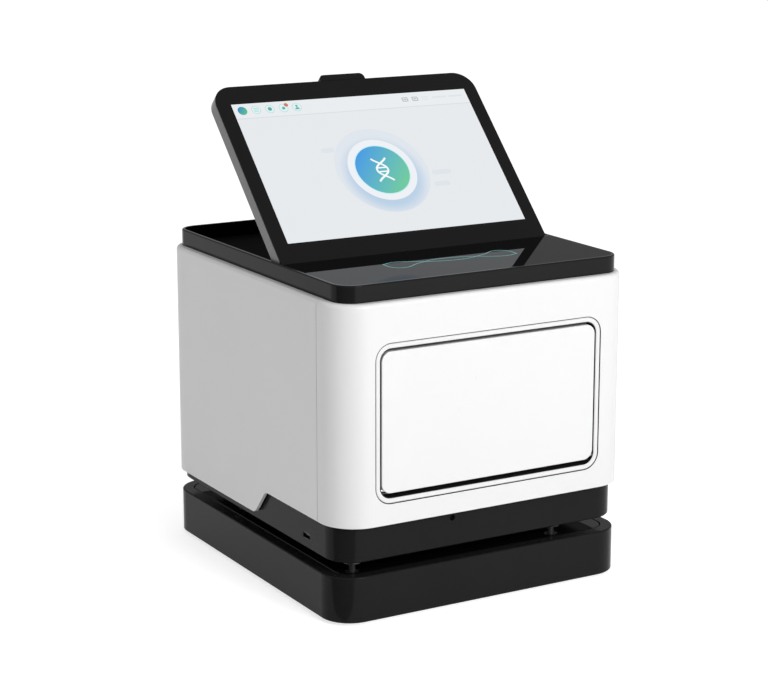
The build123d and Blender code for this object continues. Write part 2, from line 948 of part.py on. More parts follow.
with BuildPart() as nest_clips:
    for side in (-1, 1):
        outer = side * (nest_width / 2)
        inner = side * (nest_width / 2 - pocket_wall - 4.0)
        block(
            (min(outer, inner), max(outer, inner)),
            (nest_y - clip_width / 2, nest_y + clip_width / 2),
            (tray_top + nest_height, tray_top + nest_height + 1.5),
        )
        block(
            (min(outer, outer - side * 3.0), max(outer, outer - side * 3.0)),
            (nest_y - clip_width / 2, nest_y + clip_width / 2),
            (tray_top + nest_height + 1.5, tray_top + nest_height + clip_height),
        )
nest_clips.part.label = "nest_clips"
export_step(nest_clips.part, "parts/nest_clips.step")

# ================================================================ works inside the housing
optics_bottom = tunnel_top + liner_wall
lens_radius = 12.0

with BuildPart() as optics_block:
    slab(96.0, 96.0, 6.0, optics_bottom, top_plate_bottom - 6.0, y=window_y + 8.0)
    post(lens_radius, [(0.0, window_y)], optics_bottom, optics_bottom + 8.0, Mode.SUBTRACT)
    with BuildSketch(Plane((0, 0, top_plate_bottom - 12.0))) as fins:
        with Locations((0, window_y + 8.0)):
            with GridLocations(8.0, 0, 11, 1):
                Rectangle(3.0, 96.0)
    extrude(fins.sketch, amount=6.0, mode=Mode.SUBTRACT)
optics_block.part.label = "optics_block"
export_step(optics_block.part, "parts/optics_block.step")

with BuildPart() as objective_lens:
    post(lens_radius, [(0.0, window_y)], tunnel_top + 0.5, optics_bottom + 8.0)
    chamfer(objective_lens.edges().group_by(Axis.Z)[0], 2.0)
objective_lens.part.label = "objective_lens"
export_step(objective_lens.part, "parts/objective_lens.step")

pump_places = [(-88.0, -118.0), (-58.0, -118.0), (-28.0, -118.0)]
pump_top = tunnel_bottom - liner_wall

with BuildPart() as pump_block:
    block((-108.0, -8.0), (-138.0, -70.0), (chassis_floor, 110.0))
    post(10.0, pump_places, 110.0, pump_top)
    post(3.0, [(x, y + 30.0) for x, y in pump_places], 110.0, 122.0)
pump_block.part.label = "pump_block"
export_step(pump_block.part, "parts/pump_block.step")

board_thickness = 1.6
standoff_height = 8.0
board_places = [(x, y) for x in (-60.0, 30.0) for y in (20.0, 120.0)]

with BuildPart() as board_standoffs:
    post(3.0, board_places, chassis_floor, chassis_floor + standoff_height)
board_standoffs.part.label = "board_standoffs"
export_step(board_standoffs.part, "parts/board_standoffs.step")

with BuildPart() as mainboard:
    block(
        (-70.0, 40.0),
        (10.0, 130.0),
        (chassis_floor + standoff_height, chassis_floor + standoff_height + board_thickness),
    )
    with BuildSketch(
        Plane.XY.offset(chassis_floor + standoff_height + board_thickness)
    ) as chips:
        with Locations((-15.0, 60.0)):
            Rectangle(40.0, 40.0)
        with Locations((-50.0, 105.0), (-30.0, 105.0), (-10.0, 105.0)):
            Rectangle(14.0, 22.0)
    extrude(chips.sketch, amount=9.0)
mainboard.part.label = "mainboard"
export_step(mainboard.part, "parts/mainboard.step")

with BuildPart() as power_supply:
    block((27.0, 117.0), (-135.0, -5.0), (chassis_floor, chassis_floor + 40.0))
    fillet(power_supply.edges().filter_by(Axis.Z), 2.0)
power_supply.part.label = "power_supply"
export_step(power_supply.part, "parts/power_supply.step")

# ================================================================ fan and sockets in the rear panel
motor_depth = 4.0
rotor_front = fan_back + motor_depth + 0.8
rotor_back = rear_inside - 1.5
shaft_radius = 1.6
strut_width = 4.0

with BuildPart() as fan_frame:
    upright(fan_back, fan_size, fan_size, 4.0, fan_z, fan_depth, x=fan_x)
    rod_y(fan_bore, fan_x, fan_z, fan_back, rear_inside, Mode.SUBTRACT)
    rod_y(rotor_hub - 2.0, fan_x, fan_z, fan_back, fan_back + motor_depth)
    block(
        (fan_x - fan_bore - 1.0, fan_x + fan_bore + 1.0),
        (fan_back, fan_back + 3.0),
        (fan_z - strut_width / 2, fan_z + strut_width / 2),
    )
    block(
        (fan_x - strut_width / 2, fan_x + strut_width / 2),
        (fan_back, fan_back + 3.0),
        (fan_z - fan_bore - 1.0, fan_z + fan_bore + 1.0),
    )
    rod_y(shaft_radius + running, fan_x, fan_z, fan_back, fan_back + motor_depth, Mode.SUBTRACT)
fan_frame.part.label = "fan_frame"
export_step(fan_frame.part, "parts/fan_frame.step")

blade_chord = 22.0
blade_thickness = 1.6
root_angle = 55.0
tip_angle = 32.0
blade_middle_y = (rotor_front + rotor_back) / 2

with BuildPart() as fan_rotor:
    rod_y(rotor_hub, fan_x, fan_z, rotor_front, rotor_back)
    fillet(fan_rotor.edges().group_by(Axis.Y)[-1], 1.5)
    rod_y(shaft_radius, fan_x, fan_z, fan_back + 0.5, rotor_front)
    # twisted blades, steeper at the hub than at the tip
    for number in range(blade_count):
        turn = 360.0 * number / blade_count
        outward = Vector(sin(radians(turn)), 0, cos(radians(turn)))
        centre = Vector(fan_x, blade_middle_y, fan_z)
        across = Vector(cos(radians(turn)), 0, -sin(radians(turn)))
        with BuildSketch(
            Plane(centre + outward * (rotor_hub - 2.0), x_dir=across, z_dir=outward)
        ) as root:
            SlotOverall(blade_chord * 0.62, blade_thickness, rotation=root_angle)
        with BuildSketch(
            Plane(centre + outward * (rotor_radius - 1.0), x_dir=across, z_dir=outward)
        ) as tip:
            SlotOverall(blade_chord, blade_thickness, rotation=tip_angle)
        loft([root.sketch.face(), tip.sketch.face()], ruled=False)
fan_rotor.part.label = "fan_rotor"
export_step(fan_rotor.part, "parts/fan_rotor.step")

guard_bar = 1.6
guard_rings = 5
guard_depth = 2.0

with BuildPart() as fan_guard:
    with BuildSketch(
        Plane((fan_x, rear_inside + 0.5, fan_z), x_dir=(1, 0, 0), z_dir=(0, 1, 0))
    ) as wires:
        # rings from the largest inwards, then the two bars that carry them
        for ring in range(guard_rings, 0, -1):
            ring_radius = fan_bore * ring / guard_rings
            Circle(ring_radius)
            Circle(ring_radius - guard_bar, mode=Mode.SUBTRACT)
        Rectangle(2 * fan_bore - guard_bar, guard_bar * 1.5)
        Rectangle(guard_bar * 1.5, 2 * fan_bore - guard_bar)
    extrude(wires.sketch, amount=guard_depth)
fan_guard.part.label = "fan_guard"
export_step(fan_guard.part, "parts/fan_guard.step")

inlet_depth = 18.0
inlet_wall = 1.8

with BuildPart() as power_inlet:
    upright(
        rear_face - recess_depth,
        inlet_flange_x - 0.4,
        inlet_flange_z - 0.4,
        2.0,
        inlet_z,
        recess_depth,
        x=inlet_x,
    )
    upright(
        rear_face - inlet_depth,
        inlet_width - 0.2,
        inlet_height - 0.2,
        1.0,
        inlet_z,
        inlet_depth,
        x=inlet_x,
    )
    with BuildSketch(
        Plane((inlet_x, rear_face, inlet_z), x_dir=(1, 0, 0), z_dir=(0, -1, 0))
    ) as socket:
        Rectangle(inlet_width - 2 * inlet_wall, inlet_height - 2 * inlet_wall)
        chamfer(socket.vertices().group_by(Axis.Z)[-1], 4.0)
    extrude(socket.sketch, amount=inlet_depth - 2.0, mode=Mode.SUBTRACT)
power_inlet.part.label = "power_inlet"
export_step(power_inlet.part, "parts/power_inlet.step")

inlet_pin_inset = 5.5
inlet_pin_places = [(-7.0, -2.0), (0.0, 2.0), (7.0, -2.0)]

with BuildPart() as inlet_pins:
    for x, z in inlet_pin_places:
        block(
            (inlet_x + x - 1.0, inlet_x + x + 1.0),
            (rear_face - inlet_depth + 2.0, rear_face - inlet_pin_inset),
            (inlet_z + z - 2.0, inlet_z + z + 2.0),
        )
inlet_pins.part.label = "inlet_pins"
export_step(inlet_pins.part, "parts/inlet_pins.step")

lan_depth = 20.0

with BuildPart() as lan_port:
    block(
        (lan_x - lan_width / 2 + running, lan_x + lan_width / 2 - running),
        (rear_face - lan_depth, rear_face - 0.2),
        (inlet_z - lan_height / 2 + running, inlet_z + lan_height / 2 - running),
    )
    with BuildSketch(
        Plane((lan_x, rear_face - 0.2, inlet_z), x_dir=(1, 0, 0), z_dir=(0, -1, 0))
    ) as jack:
        Rectangle(11.8, 7.0)
        with Locations((0, -4.4)):
            Rectangle(6.0, 2.2)
    extrude(jack.sketch, amount=lan_depth - 4.0, mode=Mode.SUBTRACT)
lan_port.part.label = "lan_port"
export_step(lan_port.part, "parts/lan_port.step")

frame_wall = 1.4
rocker_y = rear_face - 8.0
rocker_radius = 7.6
rocker_shaft = 1.5

with BuildPart() as switch_frame:
    upright(
        rear_face - 18.0,
        switch_width - 0.2,
        switch_height - 0.2,
        0.5,
        inlet_z,
        17.8,
        x=switch_x,
    )
    block(
        (switch_x - switch_width / 2 + frame_wall, switch_x + switch_width / 2 - frame_wall),
        (rear_face - 16.5, rear_face),
        (inlet_z - switch_height / 2 + frame_wall, inlet_z + switch_height / 2 - frame_wall),
        Mode.SUBTRACT,
    )
    rod_x(
        rocker_shaft + running,
        rocker_y,
        inlet_z,
        switch_x - switch_width / 2 + 0.6,
        switch_x + switch_width / 2 - 0.6,
        Mode.SUBTRACT,
    )
switch_frame.part.label = "switch_frame"
export_step(switch_frame.part, "parts/switch_frame.step")

rocker_half = switch_width / 2 - frame_wall - 0.4
rocker_side = switch_height / 2 - frame_wall - 0.4

with BuildPart() as switch_rocker:
    with BuildSketch(
        Plane((switch_x - rocker_half, rocker_y, inlet_z), x_dir=(0, 1, 0), z_dir=(1, 0, 0))
    ) as profile:
        Circle(rocker_side)
        with Locations((rocker_radius / 2, 0)):
            Rectangle(rocker_radius, 2 * rocker_side - 2.0)
    extrude(profile.sketch, amount=2 * rocker_half)
    rod_x(
        rocker_shaft,
        rocker_y,
        inlet_z,
        switch_x - switch_width / 2 + 0.7,
        switch_x + switch_width / 2 - 0.7,
    )
switch_rocker.part.label = "switch_rocker"
export_step(switch_rocker.part, "parts/switch_rocker.step")

# ================================================================ deck
well_half = deck_width / 2 - rim
well_back_y = deck_depth / 2 - well_back_gap
well_middle_y = (well_front_y + well_back_y) / 2
glass_front_y = -deck_depth / 2 + glass_inset
glass_back_y = well_front_y - glass_inset
glass_width = deck_width - 2 * glass_inset
inlay_gap = 0.15
inlay_bottom = deck_top - glass_inlay


def inlay(drawn_in, bottom, top, mode=Mode.ADD):
    """Outline of the deck's glass inlay: round front corners, nearly square rear ones."""
    with BuildSketch(Plane.XY.offset(bottom)) as plan:
        with Locations((0, (glass_front_y + glass_back_y) / 2)):
            Rectangle(glass_width - 2 * drawn_in, glass_back_y - glass_front_y - 2 * drawn_in)
        fillet(plan.vertices().group_by(Axis.Y)[0], deck_corner - glass_inset - drawn_in)
    extrude(plan.sketch, amount=top - bottom, mode=mode)


with BuildPart() as deck_frame:
    slab(deck_width, deck_depth, deck_corner, cover_top, deck_top)
    fillet(deck_frame.edges().group_by(Axis.Z)[-1], 1.2)
    # well for the folded screen
    with BuildSketch(Plane.XY.offset(cover_top + well_floor)) as well:
        with Locations((0, well_middle_y)):
            Rectangle(2 * well_half, well_back_y - well_front_y)
        fillet(well.vertices().group_by(Axis.Y)[-1], deck_corner - rim)
    extrude(well.sketch, amount=deck_height, mode=Mode.SUBTRACT)
    inlay(0.0, inlay_bottom, deck_top, Mode.SUBTRACT)
    # hollow under the inlay's seat
    block(
        (-glass_width / 2 + 16.0, glass_width / 2 - 16.0),
        (glass_front_y + 4.0, glass_back_y - 3.0),
        (cover_top, inlay_bottom - 2.0),
        Mode.SUBTRACT,
    )
    # trunnion bores in the two rims
    rod_x(
        pin_radius + running,
        hinge_y,
        axis_height,
        -deck_width / 2 + 0.6,
        deck_width / 2 - 0.6,
        Mode.SUBTRACT,
    )
    post(deck_shank, deck_screw_places, cover_top, cover_top + well_floor, Mode.SUBTRACT)
    for x, y in deck_screw_places:
        with Locations((x, y, cover_top + well_floor)):
            Cone(
                deck_shank,
                deck_shank + well_floor - 0.1,
                well_floor - 0.1,
                align=(Align.CENTER, Align.CENTER, Align.MAX),
                mode=Mode.SUBTRACT,
            )
deck_frame.part.label = "deck_frame"
export_step(deck_frame.part, "parts/deck_frame.step")

with BuildPart() as deck_screws:
    for x, y in deck_screw_places:
        with Locations((x, y, cover_top + well_floor)):
            Cone(
                deck_shank,
                deck_shank + well_floor - 0.1,
                well_floor - 0.1,
                align=(Align.CENTER, Align.CENTER, Align.MAX),
            )
    post(deck_shank, deck_screw_places, top_plate_bottom - 2.0, cover_top + 0.1)
deck_screws.part.label = "deck_screws"
export_step(deck_screws.part, "parts/deck_screws.step")

# a single wave of light let into the glass
light_width = 1.4
light_depth = 1.0
light_y = (glass_front_y + glass_back_y) / 2 + 4.0
light_swing = 9.0
light_half = 62.0


def light_wave(width, bottom, top, mode=Mode.ADD):
    """Slim smooth wave in plan."""
    third = 2 * light_half / 3
    with BuildSketch(Plane.XY.offset(bottom)) as wave:
        with BuildLine() as path:
            Spline(
                (-light_half, light_y),
                (-light_half + third / 2, light_y - light_swing),
                (-light_half + third, light_y),
                (-light_half + 1.5 * third, light_y + light_swing),
                (-light_half + 2 * third, light_y),
                (-light_half + 2.5 * third, light_y - light_swing),
                (light_half, light_y),
            )
        trace(path.line, width)
    extrude(wave.sketch, amount=top - bottom, mode=mode)


with BuildPart() as deck_glass:
    inlay(inlay_gap, inlay_bottom, deck_top)
    light_wave(light_width, deck_top - light_depth, deck_top, Mode.SUBTRACT)
deck_glass.part.label = "deck_glass"
export_step(deck_glass.part, "parts/deck_glass.step")

with BuildPart() as status_light:
    light_wave(light_width - 0.02, deck_top - light_depth, deck_top)
status_light.part.label = "status_light"
export_step(status_light.part, "parts/status_light.step")

# ================================================================ screen
housing_wall = 2.5
board_depth = 2.0
ear_radius = 2.8
ear_length = 10.0
display_width = 256.0
display_height = 162.0
display_depth = 5.0
display_bottom = 17.5
housing_edge = 3.0
tab_front = 5.0
tab_back = 10.5
tab_corner = 4.0


def glass_block(across, up, behind, mode=Mode.ADD):
    """Square block in the screen's own directions: across, up the glass, behind the glass."""
    with BuildSketch(glass_plane.offset(-behind[0])) as face:
        with Locations(((across[0] + across[1]) / 2, (up[0] + up[1]) / 2)):
            Rectangle(across[1] - across[0], up[1] - up[0])
    extrude(face.sketch, amount=-(behind[1] - behind[0]), mode=mode)


with BuildPart() as screen_glass:
    glass_outline(0.0, 0.0, cover_glass)
    front_of_glass = screen_glass.faces().sort_by(out_of_glass)[-1]
    chamfer(front_of_glass.edges(), 0.4)
screen_glass.part.label = "screen_glass"
export_step(screen_glass.part, "parts/screen_glass.step")

screen_screw_places = [
    (x, y)
    for x in (-screen_width / 2 + 14.0, screen_width / 2 - 14.0)
    for y in (16.0, screen_height - 24.0)
]

with BuildPart() as screen_housing:
    glass_outline(0.0, cover_glass, screen_depth)
    fillet(screen_housing.faces().sort_by(out_of_glass)[0].edges(), housing_edge)
    # pull tab in the middle of the top edge
    with BuildSketch(glass_plane.offset(-tab_front)) as tab:
        with Locations((0, screen_height - 5.0 + (tab_reach + 5.0) / 2)):
            Rectangle(tab_width, tab_reach + 5.0)
        upper_corners = tab.vertices().group_by(up_the_glass)[-1]
        fillet(upper_corners, tab_corner)
    extrude(tab.sketch, amount=-(tab_back - tab_front))
    # ears that hold the trunnions
    for side in (-1, 1):
        ends = sorted((side * (screen_width / 2 - ear_length), side * screen_width / 2))
        rod_x(ear_radius, hinge_y, axis_height, ends[0], ends[1])
    glass_block(
        (-screen_width / 2, screen_width / 2),
        (0.0, ear_radius + 2.0),
        (-2.0, cover_glass),
        Mode.SUBTRACT,
    )
    glass_block(
        (-screen_width / 2 + ear_length + 0.5, screen_width / 2 - ear_length - 0.5),
        (housing_wall, screen_height - housing_wall - 8.0),
        (cover_glass, screen_depth - housing_wall),
        Mode.SUBTRACT,
    )
    for side in (-1, 1):
        ends = sorted((side * (screen_width / 2 - ear_length), side * screen_width / 2))
        rod_x(pin_radius, hinge_y, axis_height, ends[0], ends[1], Mode.SUBTRACT)
    with BuildSketch(glass_plane.offset(-screen_depth)) as screw_holes:
        with Locations(*screen_screw_places):
            Circle(countersink)
    extrude(screw_holes.sketch, amount=2.0, mode=Mode.SUBTRACT)
screen_housing.part.label = "screen_housing"
export_step(screen_housing.part, "parts/screen_housing.step")

with BuildPart() as screen_pins:
    for side in (-1, 1):
        ends = sorted((side * (screen_width / 2 - ear_length), side * (well_half + rim - 0.8)))
        rod_x(pin_radius, hinge_y, axis_height, ends[0], ends[1])
screen_pins.part.label = "screen_pins"
export_step(screen_pins.part, "parts/screen_pins.step")

with BuildPart() as screen_screws:
    with BuildSketch(glass_plane.offset(-screen_depth + 2.0)) as heads:
        with Locations(*screen_screw_places):
            Circle(countersink - 0.1)
            RegularPolygon(1.3, 6, mode=Mode.SUBTRACT)
    extrude(heads.sketch, amount=-1.6)
screen_screws.part.label = "screen_screws"
export_step(screen_screws.part, "parts/screen_screws.step")

with BuildPart() as display_panel:
    glass_block(
        (-display_width / 2, display_width / 2),
        (display_bottom, display_bottom + display_height),
        (cover_glass, cover_glass + display_depth),
    )
display_panel.part.label = "display_panel"
export_step(display_panel.part, "parts/display_panel.step")

with BuildPart() as screen_board:
    glass_block(
        (-60.0, 60.0),
        (50.0, 130.0),
        (cover_glass + display_depth, cover_glass + display_depth + board_depth),
    )
screen_board.part.label = "screen_board"
export_step(screen_board.part, "parts/screen_board.step")
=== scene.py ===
import json
import math

import bmesh
import bpy
from mathutils import Matrix, Vector


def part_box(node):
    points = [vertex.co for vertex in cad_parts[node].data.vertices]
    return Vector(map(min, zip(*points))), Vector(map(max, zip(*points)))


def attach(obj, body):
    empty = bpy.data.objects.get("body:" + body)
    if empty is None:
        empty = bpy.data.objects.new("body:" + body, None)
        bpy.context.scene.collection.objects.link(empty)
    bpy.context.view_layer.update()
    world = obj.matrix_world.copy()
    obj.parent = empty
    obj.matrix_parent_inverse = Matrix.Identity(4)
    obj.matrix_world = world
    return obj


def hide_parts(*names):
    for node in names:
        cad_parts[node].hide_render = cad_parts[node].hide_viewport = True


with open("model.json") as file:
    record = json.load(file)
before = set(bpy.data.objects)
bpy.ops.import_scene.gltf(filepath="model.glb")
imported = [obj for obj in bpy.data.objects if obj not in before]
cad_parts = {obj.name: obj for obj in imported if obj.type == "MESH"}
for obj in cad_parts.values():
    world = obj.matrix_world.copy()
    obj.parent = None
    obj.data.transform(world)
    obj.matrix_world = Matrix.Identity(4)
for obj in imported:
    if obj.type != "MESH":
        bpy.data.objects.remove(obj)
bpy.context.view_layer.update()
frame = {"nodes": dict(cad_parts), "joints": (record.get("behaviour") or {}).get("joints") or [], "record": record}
nodes = frame["nodes"]
joints = {joint["name"]: joint for joint in frame["joints"]}

MM = 0.001


def placed(origin, x, y, z):
    """Matrix of a frame with this origin and these three axes."""
    turn = Matrix(((x.x, y.x, z.x, 0), (x.y, y.y, z.y, 0), (x.z, y.z, z.z, 0), (0, 0, 0, 1)))
    return Matrix.Translation(origin) @ turn


def add_object(name, data):
    """Object of this name and data, linked into the scene."""
    new = bpy.data.objects.new(name, data)
    bpy.context.collection.objects.link(new)
    return new


# ---------------------------------------------------------------- the screen's own axes
TILT = math.radians(45.3)
PIN_DEPTH = 3.0 * MM          # hinge axis behind the glass
EDGE_DROP = 1.0 * MM          # lower edge of the tilted glass below the glass laid flat
hinge = Vector(joints["screen_tilt"]["pos_m"])
up_glass = Vector((0, math.cos(TILT), math.sin(TILT)))
out_of_glass = Vector((0, -math.sin(TILT), math.cos(TILT)))
axis_up = (EDGE_DROP - PIN_DEPTH * (1 - math.cos(TILT))) / math.sin(TILT)
glass_origin = hinge - axis_up * up_glass + PIN_DEPTH * out_of_glass
glass_matrix = placed(glass_origin, Vector((1, 0, 0)), up_glass, out_of_glass)


# ---------------------------------------------------------------- materials
# A Mix node has sockets of one name for each kind of value, so they go by number.
MIX_SHARE = 0
MIX_NUMBER = (2, 3, 0)        # old value, new value, result
MIX_COLOUR = (6, 7, 2)
CLOUD_START, CLOUD_END = 0.3, 0.7
RELIEF_DEPTH = 0.2 * MM


def new_material(name):
    """Node material with a Principled shader; returns material, tree, shader."""
    material = bpy.data.materials.new(name)
    material.use_nodes = True
    tree = material.node_tree
    shader = tree.nodes["Principled BSDF"]
    return material, tree, shader


def add_node(tree, kind, **values):
    """Adds a node and sets its properties or its inputs by name."""
    node = tree.nodes.new(kind)
    for key, value in values.items():
        if hasattr(node, key):
            setattr(node, key, value)
        else:
            node.inputs[key.replace("_", " ")].default_value = value
    return node


def surface(
    name,
    colour,
    rough,
    vary=0.06,
    rough_vary=0.06,
    grain=1200.0,
    bump=0.02,
    metallic=0.0,
    specular=0.5,
    coat=0.0,
    coat_rough=0.03,
    stretch=(1, 1, 1),
):
    """Moulded, painted or metal finish: a fine grain, cloudy colour and uneven gloss."""
    material, tree, shader = new_material(name)
    shader.inputs["Metallic"].default_value = metallic
    shader.inputs["Specular IOR Level"].default_value = specular
    shader.inputs["Coat Weight"].default_value = coat
    shader.inputs["Coat Roughness"].default_value = coat_rough
    place = add_node(tree, "ShaderNodeTexCoord")
    mapping = add_node(tree, "ShaderNodeMapping")
    mapping.inputs["Scale"].default_value = stretch
    tree.links.new(place.outputs["Object"], mapping.inputs["Vector"])
    cloud = add_node(tree, "ShaderNodeTexNoise", Scale=14.0, Detail=3.0)
    tree.links.new(mapping.outputs["Vector"], cloud.inputs["Vector"])
    tone = add_node(tree, "ShaderNodeValToRGB")
    tone.color_ramp.elements[0].position = CLOUD_START
    tone.color_ramp.elements[1].position = CLOUD_END
    tone.color_ramp.elements[0].color = (*[c * (1 - vary) for c in colour], 1)
    tone.color_ramp.elements[1].color = (*[min(1.0, c * (1 + vary)) for c in colour], 1)
    tree.links.new(cloud.outputs["Fac"], tone.inputs["Fac"])
    tree.links.new(tone.outputs["Color"], shader.inputs["Base Color"])
    smudge = add_node(tree, "ShaderNodeTexNoise", Scale=45.0, Detail=5.0)
    tree.links.new(mapping.outputs["Vector"], smudge.inputs["Vector"])
    gloss = add_node(tree, "ShaderNodeMapRange")
    gloss.inputs["To Min"].default_value = max(0.0, rough - rough_vary)
    gloss.inputs["To Max"].default_value = min(1.0, rough + rough_vary)
    tree.links.new(smudge.outputs["Fac"], gloss.inputs["Value"])
    tree.links.new(gloss.outputs["Result"], shader.inputs["Roughness"])
    if bump:
        fine = add_node(tree, "ShaderNodeTexNoise", Scale=grain, Detail=2.0)
        tree.links.new(mapping.outputs["Vector"], fine.inputs["Vector"])
        relief = add_node(tree, "ShaderNodeBump", Strength=bump, Distance=RELIEF_DEPTH)
        tree.links.new(fine.outputs["Fac"], relief.inputs["Height"])
        tree.links.new(relief.outputs["Normal"], shader.inputs["Normal"])
    return material


def recolour_where(material, mask, colour, rough):
    """Gives the masked region of a finish a colour and roughness of its own."""
    tree = material.node_tree
    shader = tree.nodes["Principled BSDF"]
    for socket, kind, (old, new, result), value in (
        ("Base Color", "RGBA", MIX_COLOUR, (*colour, 1)),
        ("Roughness", "FLOAT", MIX_NUMBER, rough),
    ):
        mix = add_node(tree, "ShaderNodeMix", data_type=kind)
        tree.links.new(shader.inputs[socket].links[0].from_socket, mix.inputs[old])
        mix.inputs[new].default_value = value
        tree.links.new(mask, mix.inputs[MIX_SHARE])
        tree.links.new(mix.outputs[result], shader.inputs[socket])


def beyond(tree, direction, distance):
    """Mask: one where the surface lies further than distance along direction."""
    place = tree.nodes.new("ShaderNodeTexCoord")
    share = add_node(tree, "ShaderNodeVectorMath", operation="DOT_PRODUCT")
    share.inputs[1].default_value = direction
    test = add_node(tree, "ShaderNodeMath", operation="GREATER_THAN")
    test.inputs[1].default_value = distance
    tree.links.new(place.outputs["Object"], share.inputs[0])
    tree.links.new(share.outputs["Value"], test.inputs[0])
    return test.outputs["Value"]


def both(tree, first, second):
    """Mask: one where both masks are one."""
    step = add_node(tree, "ShaderNodeMath", operation="MULTIPLY")
    tree.links.new(first, step.inputs[0])
    tree.links.new(second, step.inputs[1])
    return step.outputs["Value"]


def glow(name, colour, strength, vary=0.02):
    """Lit surface under glass: its own light over near black."""
    material, tree, shader = new_material(name)
    shader.inputs["Roughness"].default_value = 0.25
    shader.inputs["Specular IOR Level"].default_value = 0.2
    place = add_node(tree, "ShaderNodeTexCoord")
    cloud = add_node(tree, "ShaderNodeTexNoise", Scale=20.0)
    tree.links.new(place.outputs["Object"], cloud.inputs["Vector"])
    tone = add_node(tree, "ShaderNodeValToRGB")
    tone.color_ramp.elements[0].color = (*[c * (1 - vary) for c in colour], 1)
    tone.color_ramp.elements[1].color = (*colour, 1)
    tree.links.new(cloud.outputs["Fac"], tone.inputs["Fac"])
    tree.links.new(tone.outputs["Color"], shader.inputs["Emission Color"])
    shader.inputs["Base Color"].default_value = (0.01, 0.01, 0.01, 1)
    shader.inputs["Emission Strength"].default_value = strength
    return material


def srgb(red, green, blue):
    """Scene-linear colour of an 8-bit screen colour."""
    return tuple(
        c / 12.92 if c <= 0.04045 else ((c + 0.055) / 1.055) ** 2.4
        for c in (red / 255, green / 255, blue / 255)
    )


BLACK = (0.012, 0.012, 0.0123)
finishes = {
    "base_black": surface("base_black", BLACK, 0.16, specular=0.07, bump=0.015),
    "platform_gloss": surface(
        "platform_gloss", (0.003, 0.003, 0.0035), 0.4, bump=0, specular=0.0, coat=0.5
    ),
    "chassis_black": surface("chassis_black", BLACK, 0.16, specular=0.065, bump=0.015),
    "rubber_black": surface("rubber_black", (0.006, 0.006, 0.006), 0.7, specular=0.2, bump=0.1),
    "insert_black": surface("insert_black", (0.010, 0.010, 0.011), 0.4, specular=0.3, bump=0.04),
    "foot_grey": surface("foot_grey", (0.030, 0.030, 0.032), 0.3, specular=0.4, bump=0.03),
    "bare_steel": surface(
        "bare_steel", (0.55, 0.55, 0.56), 0.3, metallic=1.0, stretch=(1, 30, 30), bump=0.03
    ),
    # steel of the USB shell painted dark: painted shade of the socket it sits in
    "shaded_socket_steel": surface("shaded_socket_steel", (0.10, 0.10, 0.105), 0.35, metallic=1.0, bump=0.02),
    # the sensor lens is near black with almost no gloss: its own dark tint, and painted shade of the hole it sits
    # in
    "lens_dark": surface("lens_dark", (0.001, 0.001, 0.001), 0.1, specular=0.02, bump=0),
    "frame_metal": surface(
        "frame_metal", (0.62, 0.63, 0.64), 0.38, metallic=1.0, stretch=(1, 1, 40), bump=0.03
    ),
    "cover_white": surface("cover_white", (0.80, 0.80, 0.80), 0.42, vary=0.006, bump=0.02),
    "door_white": surface("door_white", (0.81, 0.81, 0.81), 0.30, vary=0.006, bump=0.01),
    "liner_grey": surface("liner_grey", (0.36, 0.37, 0.38), 0.55, bump=0.08, grain=1000),
    "board_green": surface("board_green", (0.02, 0.12, 0.05), 0.4, vary=0.2),
    "contact_brass": surface("contact_brass", (0.6, 0.42, 0.16), 0.3, metallic=1.0),
    "deck_black": surface("deck_black", BLACK, 0.14, specular=0.085, bump=0.01),
    "deck_glass": surface(
        "deck_glass", (0.003, 0.003, 0.0035), 0.4, bump=0, specular=0.0, coat=0.34, coat_rough=0.01
    ),
    "housing_black": surface(
        "housing_black", (0.20, 0.20, 0.205), 0.35, specular=0.3, bump=0.03, vary=0.02
    ),
    "screen_glass": surface(
        "screen_glass", (0.006, 0.006, 0.0063), 0.12, bump=0, specular=0.13, rough_vary=0.03
    ),
    "light_teal": glow("light_teal", srgb(128, 205, 205), 0.8),
    "display": glow("display", srgb(230, 234, 237), 1.0),
}

# the well under the screen is painted dead black and matt: painted shade of the hollow under the screen
WELL_PAINTED_SHADE = (0.0004, 0.0004, 0.0004)
WELL_ROUGH = 1.0
WELL_HALF = 140.3 * MM
WELL_FRONT = -49.6 * MM
WELL_BACK = 160.3 * MM
WELL_TOP = 297.6 * MM
well = finishes["deck_black"].node_tree
well_shade_mask = beyond(well, (0, 0, -1), -WELL_TOP)
for direction, limit in (
    ((1, 0, 0), -WELL_HALF),
    ((-1, 0, 0), -WELL_HALF),
    ((0, 1, 0), WELL_FRONT),
    ((0, -1, 0), -WELL_BACK),
):
    well_shade_mask = both(well, well_shade_mask, beyond(well, direction, limit))
recolour_where(finishes["deck_black"], well_shade_mask, WELL_PAINTED_SHADE, WELL_ROUGH)

slot_of = {row["node"]: row["material_slot"] for row in frame["record"]["subparts"]}
for name, piece in nodes.items():
    # the USB shell takes the steel painted dark as painted shade of its socket
    material = finishes["shaded_socket_steel" if name == "usb_shell" else slot_of[name]]
    piece.data.materials.clear()
    piece.data.materials.append(material)


